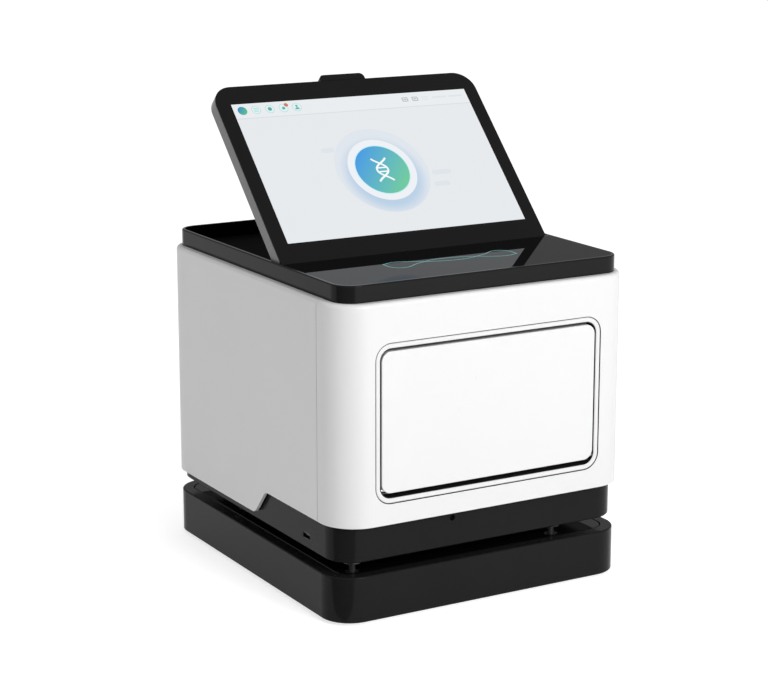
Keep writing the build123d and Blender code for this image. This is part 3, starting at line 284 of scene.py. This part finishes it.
# ---------------------------------------------------------------- screen artwork
ACTIVE_WIDTH = 249.5
ACTIVE_HEIGHT = 155.3
ACTIVE_BOTTOM = 21.0
ACTIVE_TOP = ACTIVE_BOTTOM + ACTIVE_HEIGHT
BAR_BOTTOM = 160.0
BAR_LINE = 0.9
LAYER_LIFT = 0.02             # lowest layer of the picture above the glass
LAYER_STEP = 0.05             # from one layer to the next
LAYER_THICKNESS = 0.02
DISC = (-0.6, 90.6)
DISC_RADIUS = 26.9
DISC_RIM = 0.9
DISC_SHADE = (0.78, -0.62)    # the way in which the disc turns from blue to green
RING_RADIUS = 34.4
HALO_MIDDLE = (DISC[0], DISC[1] - 0.5)
HALO_RADIUS = 47.0
HALO_EDGE = 0.5
HALO_LIGHT = (DISC[0], DISC[1] - 6.5)
HALO_NEAR, HALO_FAR = 30, 47
BUTTON_LINE = 168.5
BUTTON_RADIUS = 4.7
BUTTON_RIM = 0.5
BUTTON_SIDES = 40
BUTTONS = (-115.9, -102.0, -88.0, -73.9, -60.0)
BACKLIGHT_DIP = 0.985


def light_shader(material, tone_output, tree, shader):
    """A lit picture behind glass: all its colour is its own light."""
    tree.links.new(tone_output, shader.inputs["Emission Color"])
    shader.inputs["Emission Strength"].default_value = 1.0
    shader.inputs["Base Color"].default_value = (0.005, 0.005, 0.005, 1)
    shader.inputs["Roughness"].default_value = 0.3
    shader.inputs["Specular IOR Level"].default_value = 0.1
    return material


def two_tone(tree, first, second, fac):
    """Colour that goes from the first to the second as fac goes from 0 to 1."""
    tone = tree.nodes.new("ShaderNodeValToRGB")
    tone.color_ramp.elements[0].color = (*first, 1)
    tone.color_ramp.elements[1].color = (*second, 1)
    tree.links.new(fac, tone.inputs["Fac"])
    return tone.outputs["Color"]


def ui_plain(name, colour):
    """Even light with the faint unevenness of a backlight."""
    material, tree, shader = new_material(name)
    place = tree.nodes.new("ShaderNodeTexCoord")
    cloud = add_node(tree, "ShaderNodeTexNoise", Scale=18.0)
    tree.links.new(place.outputs["Object"], cloud.inputs["Vector"])
    dimmer = tuple(BACKLIGHT_DIP * c for c in colour)
    tone = two_tone(tree, dimmer, colour, cloud.outputs["Fac"])
    return light_shader(material, tone, tree, shader)


def ui_gradient(name, first, second, centre, direction, reach):
    """Light that turns from one colour to another across the glass."""
    material, tree, shader = new_material(name)
    place = tree.nodes.new("ShaderNodeTexCoord")
    offset = add_node(tree, "ShaderNodeVectorMath", operation="SUBTRACT")
    offset.inputs[1].default_value = on_glass(*centre)
    share = add_node(tree, "ShaderNodeVectorMath", operation="DOT_PRODUCT")
    along = glass_matrix.to_3x3() @ Vector((*direction, 0))
    share.inputs[1].default_value = along.normalized()
    spread = tree.nodes.new("ShaderNodeMapRange")
    spread.inputs["From Min"].default_value = -reach * MM
    spread.inputs["From Max"].default_value = reach * MM
    tree.links.new(place.outputs["Object"], offset.inputs[0])
    tree.links.new(offset.outputs["Vector"], share.inputs[0])
    tree.links.new(share.outputs["Value"], spread.inputs["Value"])
    tone = two_tone(tree, first, second, spread.outputs["Result"])
    return light_shader(material, tone, tree, shader)


def ui_halo(name, inside, outside, centre, near, far):
    """Light that fades from a centre out to the plain background."""
    material, tree, shader = new_material(name)
    place = tree.nodes.new("ShaderNodeTexCoord")
    distance = add_node(tree, "ShaderNodeVectorMath", operation="DISTANCE")
    distance.inputs[1].default_value = on_glass(*centre)
    spread = add_node(tree, "ShaderNodeMapRange", interpolation_type="SMOOTHSTEP")
    spread.inputs["From Min"].default_value = near * MM
    spread.inputs["From Max"].default_value = far * MM
    tree.links.new(place.outputs["Object"], distance.inputs[0])
    tree.links.new(distance.outputs["Value"], spread.inputs["Value"])
    tone = two_tone(tree, inside, outside, spread.outputs["Result"])
    return light_shader(material, tone, tree, shader)


def on_glass(across, up, out=0.0):
    """Place of a point in millimetres across, up and out of the glass."""
    return glass_matrix @ Vector((across * MM, up * MM, out * MM))


def solid_piece(name, rings, place, rise, material, body, edge=0.0):
    """Closed piece: the first outline is its edge, the rest holes, raised by the vector rise."""
    work = bmesh.new()
    outline = []
    for ring in rings:
        corners = [work.verts.new(place(*point)) for point in ring]
        for here, there in zip(corners, corners[1:] + corners[:1]):
            outline.append(work.edges.new((here, there)))
    bmesh.ops.triangle_fill(work, use_beauty=True, edges=outline, normal=-rise.normalized())
    grown = bmesh.ops.extrude_face_region(work, geom=work.faces[:])
    raised = [part for part in grown["geom"] if isinstance(part, bmesh.types.BMVert)]
    bmesh.ops.translate(work, verts=raised, vec=rise)
    bmesh.ops.recalc_face_normals(work, faces=work.faces)
    mesh = bpy.data.meshes.new(name)
    work.to_mesh(mesh)
    work.free()
    mesh.materials.append(material)
    piece = add_object(name, mesh)
    if edge:
        round_edges(piece, edge)
    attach(piece, body)
    return piece


SHARP = math.radians(50)      # edges that turn by more than this are rounded


def round_edges(piece, radius):
    """Rounds the sharp edges of a piece to a radius in millimetres."""
    bevel = piece.modifiers.new("edges", "BEVEL")
    bevel.width = radius * MM
    bevel.segments = 3
    bevel.limit_method = "ANGLE"
    bevel.angle_limit = SHARP


def flat_piece(name, rings, layer, material):
    """Layer of the lit picture, from outlines in millimetres on the glass."""

    def place(x, y):
        return on_glass(x, y, LAYER_LIFT + layer * LAYER_STEP)

    return solid_piece(
        name, rings, place, LAYER_THICKNESS * MM * out_of_glass, material, "screen"
    )


def rectangle(left, bottom, right, top):
    return [(left, bottom), (right, bottom), (right, top), (left, top)]


def rounded(left, bottom, right, top, radius, count=6):
    """Outline of a rectangle with round corners: both upper ones first, then both lower."""
    points = []
    corners = ((right, top, 0), (left, top, 1), (left, bottom, 2), (right, bottom, 3))
    for x, y, turn in corners:
        middle_x = x - radius if x == right else x + radius
        middle_y = y - radius if y == top else y + radius
        for k in range(count + 1):
            angle = math.pi / 2 * (turn + k / count)
            points.append(
                (middle_x + radius * math.cos(angle), middle_y + radius * math.sin(angle))
            )
    return points


def bar(x, y, half_width, half_height, radius=0.0):
    """Outline of a rectangle about a middle, with round corners if a radius is given."""
    box = (x - half_width, y - half_height, x + half_width, y + half_height)
    return rounded(*box, radius) if radius else rectangle(*box)


def circle(x, y, radius, count=64):
    turns = [2 * math.pi * k / count for k in range(count)]
    return [(x + radius * math.cos(turn), y + radius * math.sin(turn)) for turn in turns]


PLAIN = srgb(231, 234, 237)
halo_light = ui_halo(
    "ui_halo", srgb(186, 208, 230), srgb(223, 229, 236), HALO_LIGHT, HALO_NEAR, HALO_FAR
)
soft_ring = ui_plain("ui_soft_ring", srgb(223, 229, 236))
bar_light = ui_plain("ui_bar", srgb(234, 237, 240))
line_light = ui_plain("ui_line", srgb(215, 222, 229))
ring_light = ui_plain("ui_ring", srgb(238, 241, 245))
rim_light = ui_plain("ui_rim", srgb(196, 240, 247))
disc_light = ui_gradient(
    "ui_disc", srgb(70, 154, 227), srgb(112, 203, 153), DISC, DISC_SHADE, DISC_RADIUS
)
white_light = ui_plain("ui_white", srgb(248, 252, 252))
grey_light = ui_plain("ui_grey", srgb(168, 174, 179))
pale_light = ui_plain("ui_pale", srgb(222, 228, 233))
button_light = ui_plain("ui_button", srgb(222, 243, 242))
button_rim = ui_plain("ui_button_rim", srgb(176, 214, 216))
symbol_light = ui_plain("ui_symbol", srgb(96, 172, 166))
badge_light = ui_plain("ui_badge", srgb(205, 120, 95))
blue_green = ui_gradient(
    "ui_blue_green",
    srgb(52, 138, 196),
    srgb(92, 190, 132),
    (BUTTONS[0], BUTTON_LINE),
    DISC_SHADE,
    BUTTON_RADIUS,
)

half_active = ACTIVE_WIDTH / 2
flat_piece(
    "ui_background",
    [rectangle(-half_active, ACTIVE_BOTTOM, half_active, ACTIVE_TOP)],
    0,
    ui_plain("ui_background", PLAIN),
)
flat_piece(
    "ui_top_line",
    [rectangle(-half_active, BAR_BOTTOM - BAR_LINE, half_active, BAR_BOTTOM)],
    1,
    line_light,
)
flat_piece(
    "ui_top_bar", [rectangle(-half_active, BAR_BOTTOM, half_active, ACTIVE_TOP)], 1, bar_light
)
flat_piece("ui_soft_ring", [circle(*HALO_MIDDLE, HALO_RADIUS + HALO_EDGE)], 1, soft_ring)
flat_piece("ui_glow", [circle(*HALO_MIDDLE, HALO_RADIUS)], 2, halo_light)
flat_piece("ui_ring", [circle(*DISC, RING_RADIUS)], 3, ring_light)
flat_piece("ui_rim", [circle(*DISC, DISC_RADIUS + DISC_RIM)], 4, rim_light)
flat_piece("ui_disc", [circle(*DISC, DISC_RADIUS)], 5, disc_light)


def stroke(points, width):
    """Outline of a line of the given width drawn through the points."""
    left, right = [], []
    for k, (x, y) in enumerate(points):
        before = points[max(k - 1, 0)]
        after = points[min(k + 1, len(points) - 1)]
        along = Vector((after[0] - before[0], after[1] - before[1])).normalized()
        left.append((x - along.y * width / 2, y + along.x * width / 2))
        right.append((x + along.y * width / 2, y - along.x * width / 2))
    return left + right[::-1]


# Twin-strand symbol on the big button: two crossing waves with short rungs.
SYMBOL_HALF = 13.0
SYMBOL_SWING = 5.6
SYMBOL_WAVE = 28.0
SYMBOL_FLARE = 34.0
SYMBOL_LINE = 1.9
SYMBOL_STEPS = 20             # from the middle of the symbol to either end
RUNG_ALONG = 2.2
RUNG_HALF = 4.2
RUNG_LINE = SYMBOL_LINE * 0.8


def on_symbol(along, aside):
    return (DISC[0] + aside, DISC[1] + along)


def strand(side):
    """Middle line of one strand: a wave that grows a little wider towards its ends."""
    points = []
    for k in range(2 * SYMBOL_STEPS + 1):
        height = SYMBOL_HALF * (k / SYMBOL_STEPS - 1)
        swing = side * SYMBOL_SWING * (1 + abs(height) / SYMBOL_FLARE)
        points.append(on_symbol(height, swing * math.cos(2 * math.pi * height / SYMBOL_WAVE)))
    return points


for label, side in (("a", 1), ("b", -1)):
    flat_piece(f"ui_strand_{label}", [stroke(strand(side), SYMBOL_LINE)], 6, white_light)
for label, along in (("a", -RUNG_ALONG), ("b", RUNG_ALONG)):
    rung = [on_symbol(along, -RUNG_HALF), on_symbol(along, RUNG_HALF)]
    flat_piece(f"ui_rung_{label}", [stroke(rung, RUNG_LINE)], 6, white_light)

# Round buttons on the left of the top bar; all but the first carry a small sign of their own.
for number, x in enumerate(BUTTONS):
    name = f"ui_button_{number}"
    whole = circle(x, BUTTON_LINE, BUTTON_RADIUS, BUTTON_SIDES)
    if number == 0:
        flat_piece(name, [whole], 2, blue_green)
        continue
    flat_piece(f"{name}_rim", [whole], 2, button_rim)
    inner = circle(x, BUTTON_LINE, BUTTON_RADIUS - BUTTON_RIM, BUTTON_SIDES)
    flat_piece(name, [inner], 3, button_light)

LIST_STEP = 1.7
LIST_HALF_WIDTH, LIST_HALF_HEIGHT = 2.4, 0.35
for label, row in (("high", LIST_STEP), ("middle", 0.0), ("low", -LIST_STEP)):
    list_bar = bar(BUTTONS[1], BUTTON_LINE + row, LIST_HALF_WIDTH, LIST_HALF_HEIGHT)
    flat_piece(f"ui_list_{label}", [list_bar], 4, button_rim)
# round signs: button, place from its middle, radius, sides, layer and light
for name, button, aside, above, radius, sides, layer, light in (
    ("ui_dot", 2, 0.0, 0.0, 2.1, 32, 4, symbol_light),
    ("ui_bell", 3, 0.0, -0.2, 1.6, 32, 4, symbol_light),
    ("ui_badge", 3, 3.6, 3.3, 2.1, 32, 5, badge_light),
    ("ui_head", 4, 0.0, 1.4, 1.2, 24, 4, symbol_light),
):
    sign = circle(BUTTONS[button] + aside, BUTTON_LINE + above, radius, sides)
    flat_piece(name, [sign], layer, light)
SHOULDER_FOOT = BUTTON_LINE - 2.4
SHOULDER_HALF = 2.3
SHOULDER_HEIGHT = 2.2
SHOULDER_STEPS = 16
shoulders = []
for k in range(SHOULDER_STEPS + 1):
    angle = math.pi * k / SHOULDER_STEPS
    aside, above = SHOULDER_HALF * math.cos(angle), SHOULDER_HEIGHT * math.sin(angle)
    shoulders.append((BUTTONS[4] + aside, SHOULDER_FOOT + above))
flat_piece("ui_shoulders", [shoulders], 4, symbol_light)

# Plain signs on the right of the bar, and the faint captions beside the big button.
SIGNS = (55.6, 66.6, 77.8)
SIGN_OUTER = (3.2, 2.4, 0.8)  # half width, half height and corner radius
SIGN_INNER = (2.4, 1.6, 0.4)
SIGN_BAR = (1.6, 0.5)
for number, x in enumerate(SIGNS):
    light = pale_light if number == 2 else grey_light
    outer, inner = bar(x, BUTTON_LINE, *SIGN_OUTER), bar(x, BUTTON_LINE, *SIGN_INNER)
    flat_piece(f"ui_sign_{number}", [outer, inner[::-1]], 2, light)
    flat_piece(f"ui_sign_bar_{number}", [bar(x, BUTTON_LINE, *SIGN_BAR)], 2, light)
CAPTIONS = ((86, 101.5), (104, 119))
CAPTION_LOW, CAPTION_HIGH, CAPTION_ROUND = BUTTON_LINE - 0.5, BUTTON_LINE + 1.3, 0.8
for number, (left, right) in enumerate(CAPTIONS):
    caption = rounded(left, CAPTION_LOW, right, CAPTION_HIGH, CAPTION_ROUND)
    flat_piece(f"ui_caption_{number}", [caption], 2, pale_light)
NOTE_HALF_HEIGHT, NOTE_ROUND = 2.6, 2.2
for name, left, right, height in (
    ("ui_note_left", -54.5, -41.0, 117.0),
    ("ui_note_right", 49.5, 70.0, 82.5),
    ("ui_note_lower", 46.5, 63.5, 69.5),
):
    low, high = height - NOTE_HALF_HEIGHT, height + NOTE_HALF_HEIGHT
    flat_piece(name, [rounded(left, low, right, high, NOTE_ROUND)], 2, pale_light)


# ---------------------------------------------------------------- screen shell
SHELL_HALF = 139.03
SHELL_TOP = 197.03
SHELL_CORNER = 20.0
SHELL_WALL = 3.0              # as wide as the round edge that it squares off
SHELL_FRONT = 1.5             # depths behind the glass
SHELL_BACK = 13.22
RIM_START = 12.0              # up the glass, clear of the hinge
SHELL_EDGE = 0.6              # rounding of the shell's and the tab's edges


def arch(half, top, corner, start, count=10):
    """Left side, top and right side of the screen as one open line."""
    line = [(-half, start)]
    for side, turn in ((-1, math.pi), (1, math.pi / 2)):
        middle = side * (half - corner)
        for k in range(count + 1):
            angle = turn - math.pi / 2 * k / count
            line.append(
                (middle + corner * math.cos(angle), top - corner + corner * math.sin(angle))
            )
    line.append((half, start))
    return line


outside_rim = arch(SHELL_HALF, SHELL_TOP, SHELL_CORNER, RIM_START)
inside_rim = arch(
    SHELL_HALF - SHELL_WALL, SHELL_TOP - SHELL_WALL, SHELL_CORNER - SHELL_WALL, RIM_START
)
solid_piece(
    "screen_rim",
    [outside_rim + inside_rim[::-1]],
    lambda x, y: on_glass(x, y, -SHELL_FRONT),
    (SHELL_FRONT - SHELL_BACK) * MM * out_of_glass,
    finishes["housing_black"],
    "screen",
    edge=SHELL_EDGE,
)

# pull tab: round at the top, square where it leaves the shell
TAB_HALF = 23.9
TAB_TOP = 203.85
TAB_CORNER = 5.0
TAB_FRONT = 0.2               # depths behind the glass
TAB_BACK = 10.6
tab_outline = rounded(-TAB_HALF, SHELL_TOP, TAB_HALF, TAB_TOP, TAB_CORNER)
upper_corners = tab_outline[: len(tab_outline) // 2]
solid_piece(
    "screen_tab",
    [upper_corners + [(-TAB_HALF, SHELL_TOP), (TAB_HALF, SHELL_TOP)]],
    lambda x, y: on_glass(x, y, -TAB_FRONT),
    (TAB_FRONT - TAB_BACK) * MM * out_of_glass,
    finishes["screen_glass"],
    "screen",
    edge=SHELL_EDGE,
)

# ---------------------------------------------------------------- deck glass and its light
ROUND_STEPS = 10              # to each large corner
GLASS_CORNER = 15.85          # both front corners; the back ones are square
glass_low, glass_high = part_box("deck_glass")
glass_left, glass_front = glass_low[0] / MM, glass_low[1] / MM
glass_right, glass_back = glass_high[0] / MM, glass_high[1] / MM
deck_level = glass_high[2]
sheet_outline = rounded(
    glass_left, glass_front, glass_right, glass_back, GLASS_CORNER, ROUND_STEPS
)
lower_corners = sheet_outline[len(sheet_outline) // 2 :]
sheet = solid_piece(
    "deck_sheet",
    [[(glass_right, glass_back), (glass_left, glass_back)] + lower_corners],
    lambda x, y: Vector((x * MM, y * MM, glass_low[2])),
    Vector((0, 0, glass_high[2] - glass_low[2])),
    finishes["deck_glass"],
    "cabinet",
)
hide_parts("deck_glass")

LIGHT_HALF = 64.5
LIGHT_SWING = 13.0
LIGHT_RADIUS = 0.55
LIGHT_SUNK = 0.4
LIGHT_SHIFT = 3.2             # back from the middle of the glass
LIGHT_MIDDLE = (glass_front + glass_back) / 2 + LIGHT_SHIFT
STRAND_SHAPE = (
    (-1.0, 0.6),
    (-0.98, -0.6),
    (-0.87, -1.0),
    (-0.54, -0.2),
    (-0.15, 0.43),
    (0.34, 0.05),
    (0.6, -0.65),
    (0.8, -0.92),
    (1.0, -0.6),
)
for label, turn in (("a", -1), ("b", 1)):
    line = bpy.data.curves.new(f"light_strand_{label}", "CURVE")
    line.dimensions = "3D"
    line.bevel_depth = LIGHT_RADIUS * MM
    line.bevel_resolution = 3
    line.use_fill_caps = True
    line.resolution_u = 16
    bend = line.splines.new("BEZIER")
    bend.bezier_points.add(len(STRAND_SHAPE) - 1)
    for point, (along, swing) in zip(bend.bezier_points, STRAND_SHAPE):
        point.co = (
            -turn * along * LIGHT_HALF * MM,
            (LIGHT_MIDDLE - turn * swing * LIGHT_SWING) * MM,
            deck_level - LIGHT_SUNK * MM,
        )
        point.handle_left_type = point.handle_right_type = "AUTO"
    line.materials.append(finishes["light_teal"])
    piece = add_object(f"light_strand_{label}", line)
    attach(piece, "cabinet")
    if label == "a":
        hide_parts("status_light")

# ---------------------------------------------------------------- lining of the door opening
SEAL_FRONT = -169.7
SEAL_DEPTH = 11.0
SEAL_HALF = 110.35
SEAL_MIDDLE = 177.6
SEAL_HALF_HEIGHT = 65.55
SEAL_CORNER = 10.5
SEAL_WALL = 0.6


def opening(drawn_in):
    """Outline of the door opening, drawn in all round."""
    return rounded(
        -SEAL_HALF + drawn_in,
        SEAL_MIDDLE - SEAL_HALF_HEIGHT + drawn_in,
        SEAL_HALF - drawn_in,
        SEAL_MIDDLE + SEAL_HALF_HEIGHT - drawn_in,
        SEAL_CORNER - drawn_in,
        ROUND_STEPS,
    )


solid_piece(
    "door_seal",
    [opening(0), opening(SEAL_WALL)[::-1]],
    lambda x, z: Vector((x, SEAL_FRONT, z)) * MM,
    Vector((0, SEAL_DEPTH, 0)) * MM,
    finishes["rubber_black"],
    "cabinet",
)

# ---------------------------------------------------------------- dark joints between covers
JOINT_PROUD = 0.02            # the line round the bezel stands just out of the paint
JOINT_SUNK = 0.12             # the side joints lie below it
JOINT_DEPTH = 1.0
JOINT_ROUND = 0.24
JOINT_FOOT = 1.0              # the side joints start above the lower edge of the cover
JOINT_CAP = 3.6               # and stop below its rounded top edge
BEZEL_HALF = 114.8
BEZEL_HALF_HEIGHT = 70.0
BEZEL_CORNER = 15.0
BEZEL_SEAM = 0.5


def bezel_line(grown):
    """Outline of the bezel, grown all round."""
    return rounded(
        -BEZEL_HALF - grown,
        SEAL_MIDDLE - BEZEL_HALF_HEIGHT - grown,
        BEZEL_HALF + grown,
        SEAL_MIDDLE + BEZEL_HALF_HEIGHT + grown,
        BEZEL_CORNER + grown,
        ROUND_STEPS,
    )


cover_low, cover_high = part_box("front_cover")
solid_piece(
    "bezel_joint",
    [bezel_line(BEZEL_SEAM), bezel_line(0)[::-1]],
    lambda x, z: Vector((x, cover_low[1] / MM - JOINT_PROUD, z)) * MM,
    Vector((0, JOINT_DEPTH, 0)) * MM,
    finishes["rubber_black"],
    "cabinet",
)

side_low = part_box("left_cover")[0]
side_gap = rounded(
    cover_high[1] / MM,
    cover_low[2] / MM + JOINT_FOOT,
    side_low[1] / MM,
    cover_high[2] / MM - JOINT_CAP,
    JOINT_ROUND,
)
for label, side in (("left", -1), ("right", 1)):
    side_x = side * (cover_high[0] / MM - JOINT_SUNK)
    solid_piece(
        f"cover_joint_{label}",
        [side_gap],
        lambda y, z: Vector((side_x, y, z)) * MM,
        Vector((-side * JOINT_DEPTH, 0, 0)) * MM,
        finishes["rubber_black"],
        "cabinet",
    )

# ---------------------------------------------------------------- floor, light and camera
def direct_view(tree):
    """One for rays that show the background itself: straight, mirrored or through glass."""
    rays = tree.nodes.new("ShaderNodeLightPath")
    seen = rays.outputs["Is Camera Ray"]
    for kind in ("Is Glossy Ray", "Is Transmission Ray"):
        step = add_node(tree, "ShaderNodeMath", operation="MAXIMUM")
        tree.links.new(seen, step.inputs[0])
        tree.links.new(rays.outputs[kind], step.inputs[1])
        seen = step.outputs["Value"]
    return seen


FLOOR_HALF = 40.0
FLOOR_GREY = 0.88
FLOOR_LIFT = 0.6              # own light, which brings the lit floor to white in the picture
corners = [(x * FLOOR_HALF, y * FLOOR_HALF, 0) for x, y in ((-1, -1), (1, -1), (1, 1), (-1, 1))]
ground = bpy.data.meshes.new("floor")
ground.from_pydata(corners, [], [(0, 1, 2, 3)])
material, tree, shader = new_material("floor")
shader.inputs["Base Color"].default_value = (FLOOR_GREY, FLOOR_GREY, FLOOR_GREY, 1)
shader.inputs["Roughness"].default_value = 0.9
shader.inputs["Specular IOR Level"].default_value = 0.0
shader.inputs["Emission Color"].default_value = (1, 1, 1, 1)
seen = direct_view(tree)
lift = add_node(tree, "ShaderNodeMath", operation="MULTIPLY")
lift.inputs[1].default_value = FLOOR_LIFT
tree.links.new(seen, lift.inputs[0])
tree.links.new(lift.outputs["Value"], shader.inputs["Emission Strength"])
ground.materials.append(material)
floor = add_object("floor", ground)

# the sky is a plain sweep of grey: its tone by height, 0 at the horizon and 1 overhead
SKY_HORIZON, SKY_WALL, SKY_TOP = 1.0, 0.42, 0.58
SKY_WALL_HEIGHT = 0.16
scene = bpy.context.scene
world = bpy.data.worlds.new("studio")
scene.world = world
world.use_nodes = True
sky = world.node_tree
place = sky.nodes.new("ShaderNodeTexCoord")
split = sky.nodes.new("ShaderNodeSeparateXYZ")
sweep = sky.nodes.new("ShaderNodeValToRGB")
sweep.color_ramp.elements.new(SKY_WALL_HEIGHT)
for stop, tone in zip(sweep.color_ramp.elements, (SKY_HORIZON, SKY_WALL, SKY_TOP)):
    stop.color = (tone, tone, tone, 1)
sky.links.new(place.outputs["Generated"], split.inputs["Vector"])
sky.links.new(split.outputs["Z"], sweep.inputs["Fac"])
sky.links.new(sweep.outputs["Color"], sky.nodes["Background"].inputs["Color"])

# black card on the floor in front, seen by nothing but gloss: it darkens the round corners
CARD_APEX = (-0.146, -0.166)
CARD_REACH = 3.5
CARD_FROM = math.radians(165)
CARD_TO = math.radians(264)
CARD_STEPS = 16
CARD_HEIGHT = 0.001
CARD_BLACK = (0.001, 0.001, 0.001)
fan = [(*CARD_APEX, CARD_HEIGHT)]
for k in range(CARD_STEPS + 1):
    angle = CARD_FROM + (CARD_TO - CARD_FROM) * k / CARD_STEPS
    edge_x = CARD_APEX[0] + CARD_REACH * math.cos(angle)
    edge_y = CARD_APEX[1] + CARD_REACH * math.sin(angle)
    fan.append((edge_x, edge_y, CARD_HEIGHT))
card_mesh = bpy.data.meshes.new("card")
card_mesh.from_pydata(fan, [], [(0, k, k + 1) for k in range(1, CARD_STEPS + 1)])
card_mesh.materials.append(surface("card", CARD_BLACK, 1.0, specular=0.0, bump=0))
card = add_object("card", card_mesh)
card.visible_camera = False
card.visible_diffuse = False
card.visible_transmission = False
card.visible_shadow = False

# one large soft lamp in front
KEY_PLACE = Vector((0.4, -2.55, 1.3))
KEY_TARGET = Vector((0, 0, 0.2))
KEY_SIZE = (1.1, 1.4)
KEY_POWER = 43
key_light = bpy.data.lights.new("key", "AREA")
key_light.shape = "RECTANGLE"
key_light.size, key_light.size_y = KEY_SIZE
key_light.energy = KEY_POWER
key = add_object("key", key_light)
key.location = KEY_PLACE
key.rotation_euler = (KEY_TARGET - KEY_PLACE).to_track_quat("-Z", "Y").to_euler()

# the photograph's viewpoint, fitted to the edges that it shows
CAMERA_PLACE = Vector((-985.96, -1687.47, 664.38)) * MM
CAMERA_FORWARD = Vector((0.48806734, 0.84227818, -0.22881814))
CAMERA_RIGHT = Vector((0.86523353, -0.50136907, 0))
CAMERA_LENS = 101.23
camera_data = bpy.data.cameras.new("camera")
camera_data.lens = CAMERA_LENS
camera_data.sensor_width = 36
camera_data.sensor_fit = "HORIZONTAL"
camera_data.clip_end = 200
camera = add_object("camera", camera_data)
camera.matrix_world = placed(
    CAMERA_PLACE, CAMERA_RIGHT, CAMERA_RIGHT.cross(CAMERA_FORWARD), -CAMERA_FORWARD
)
scene.camera = camera
scene.view_settings.view_transform = "Standard"
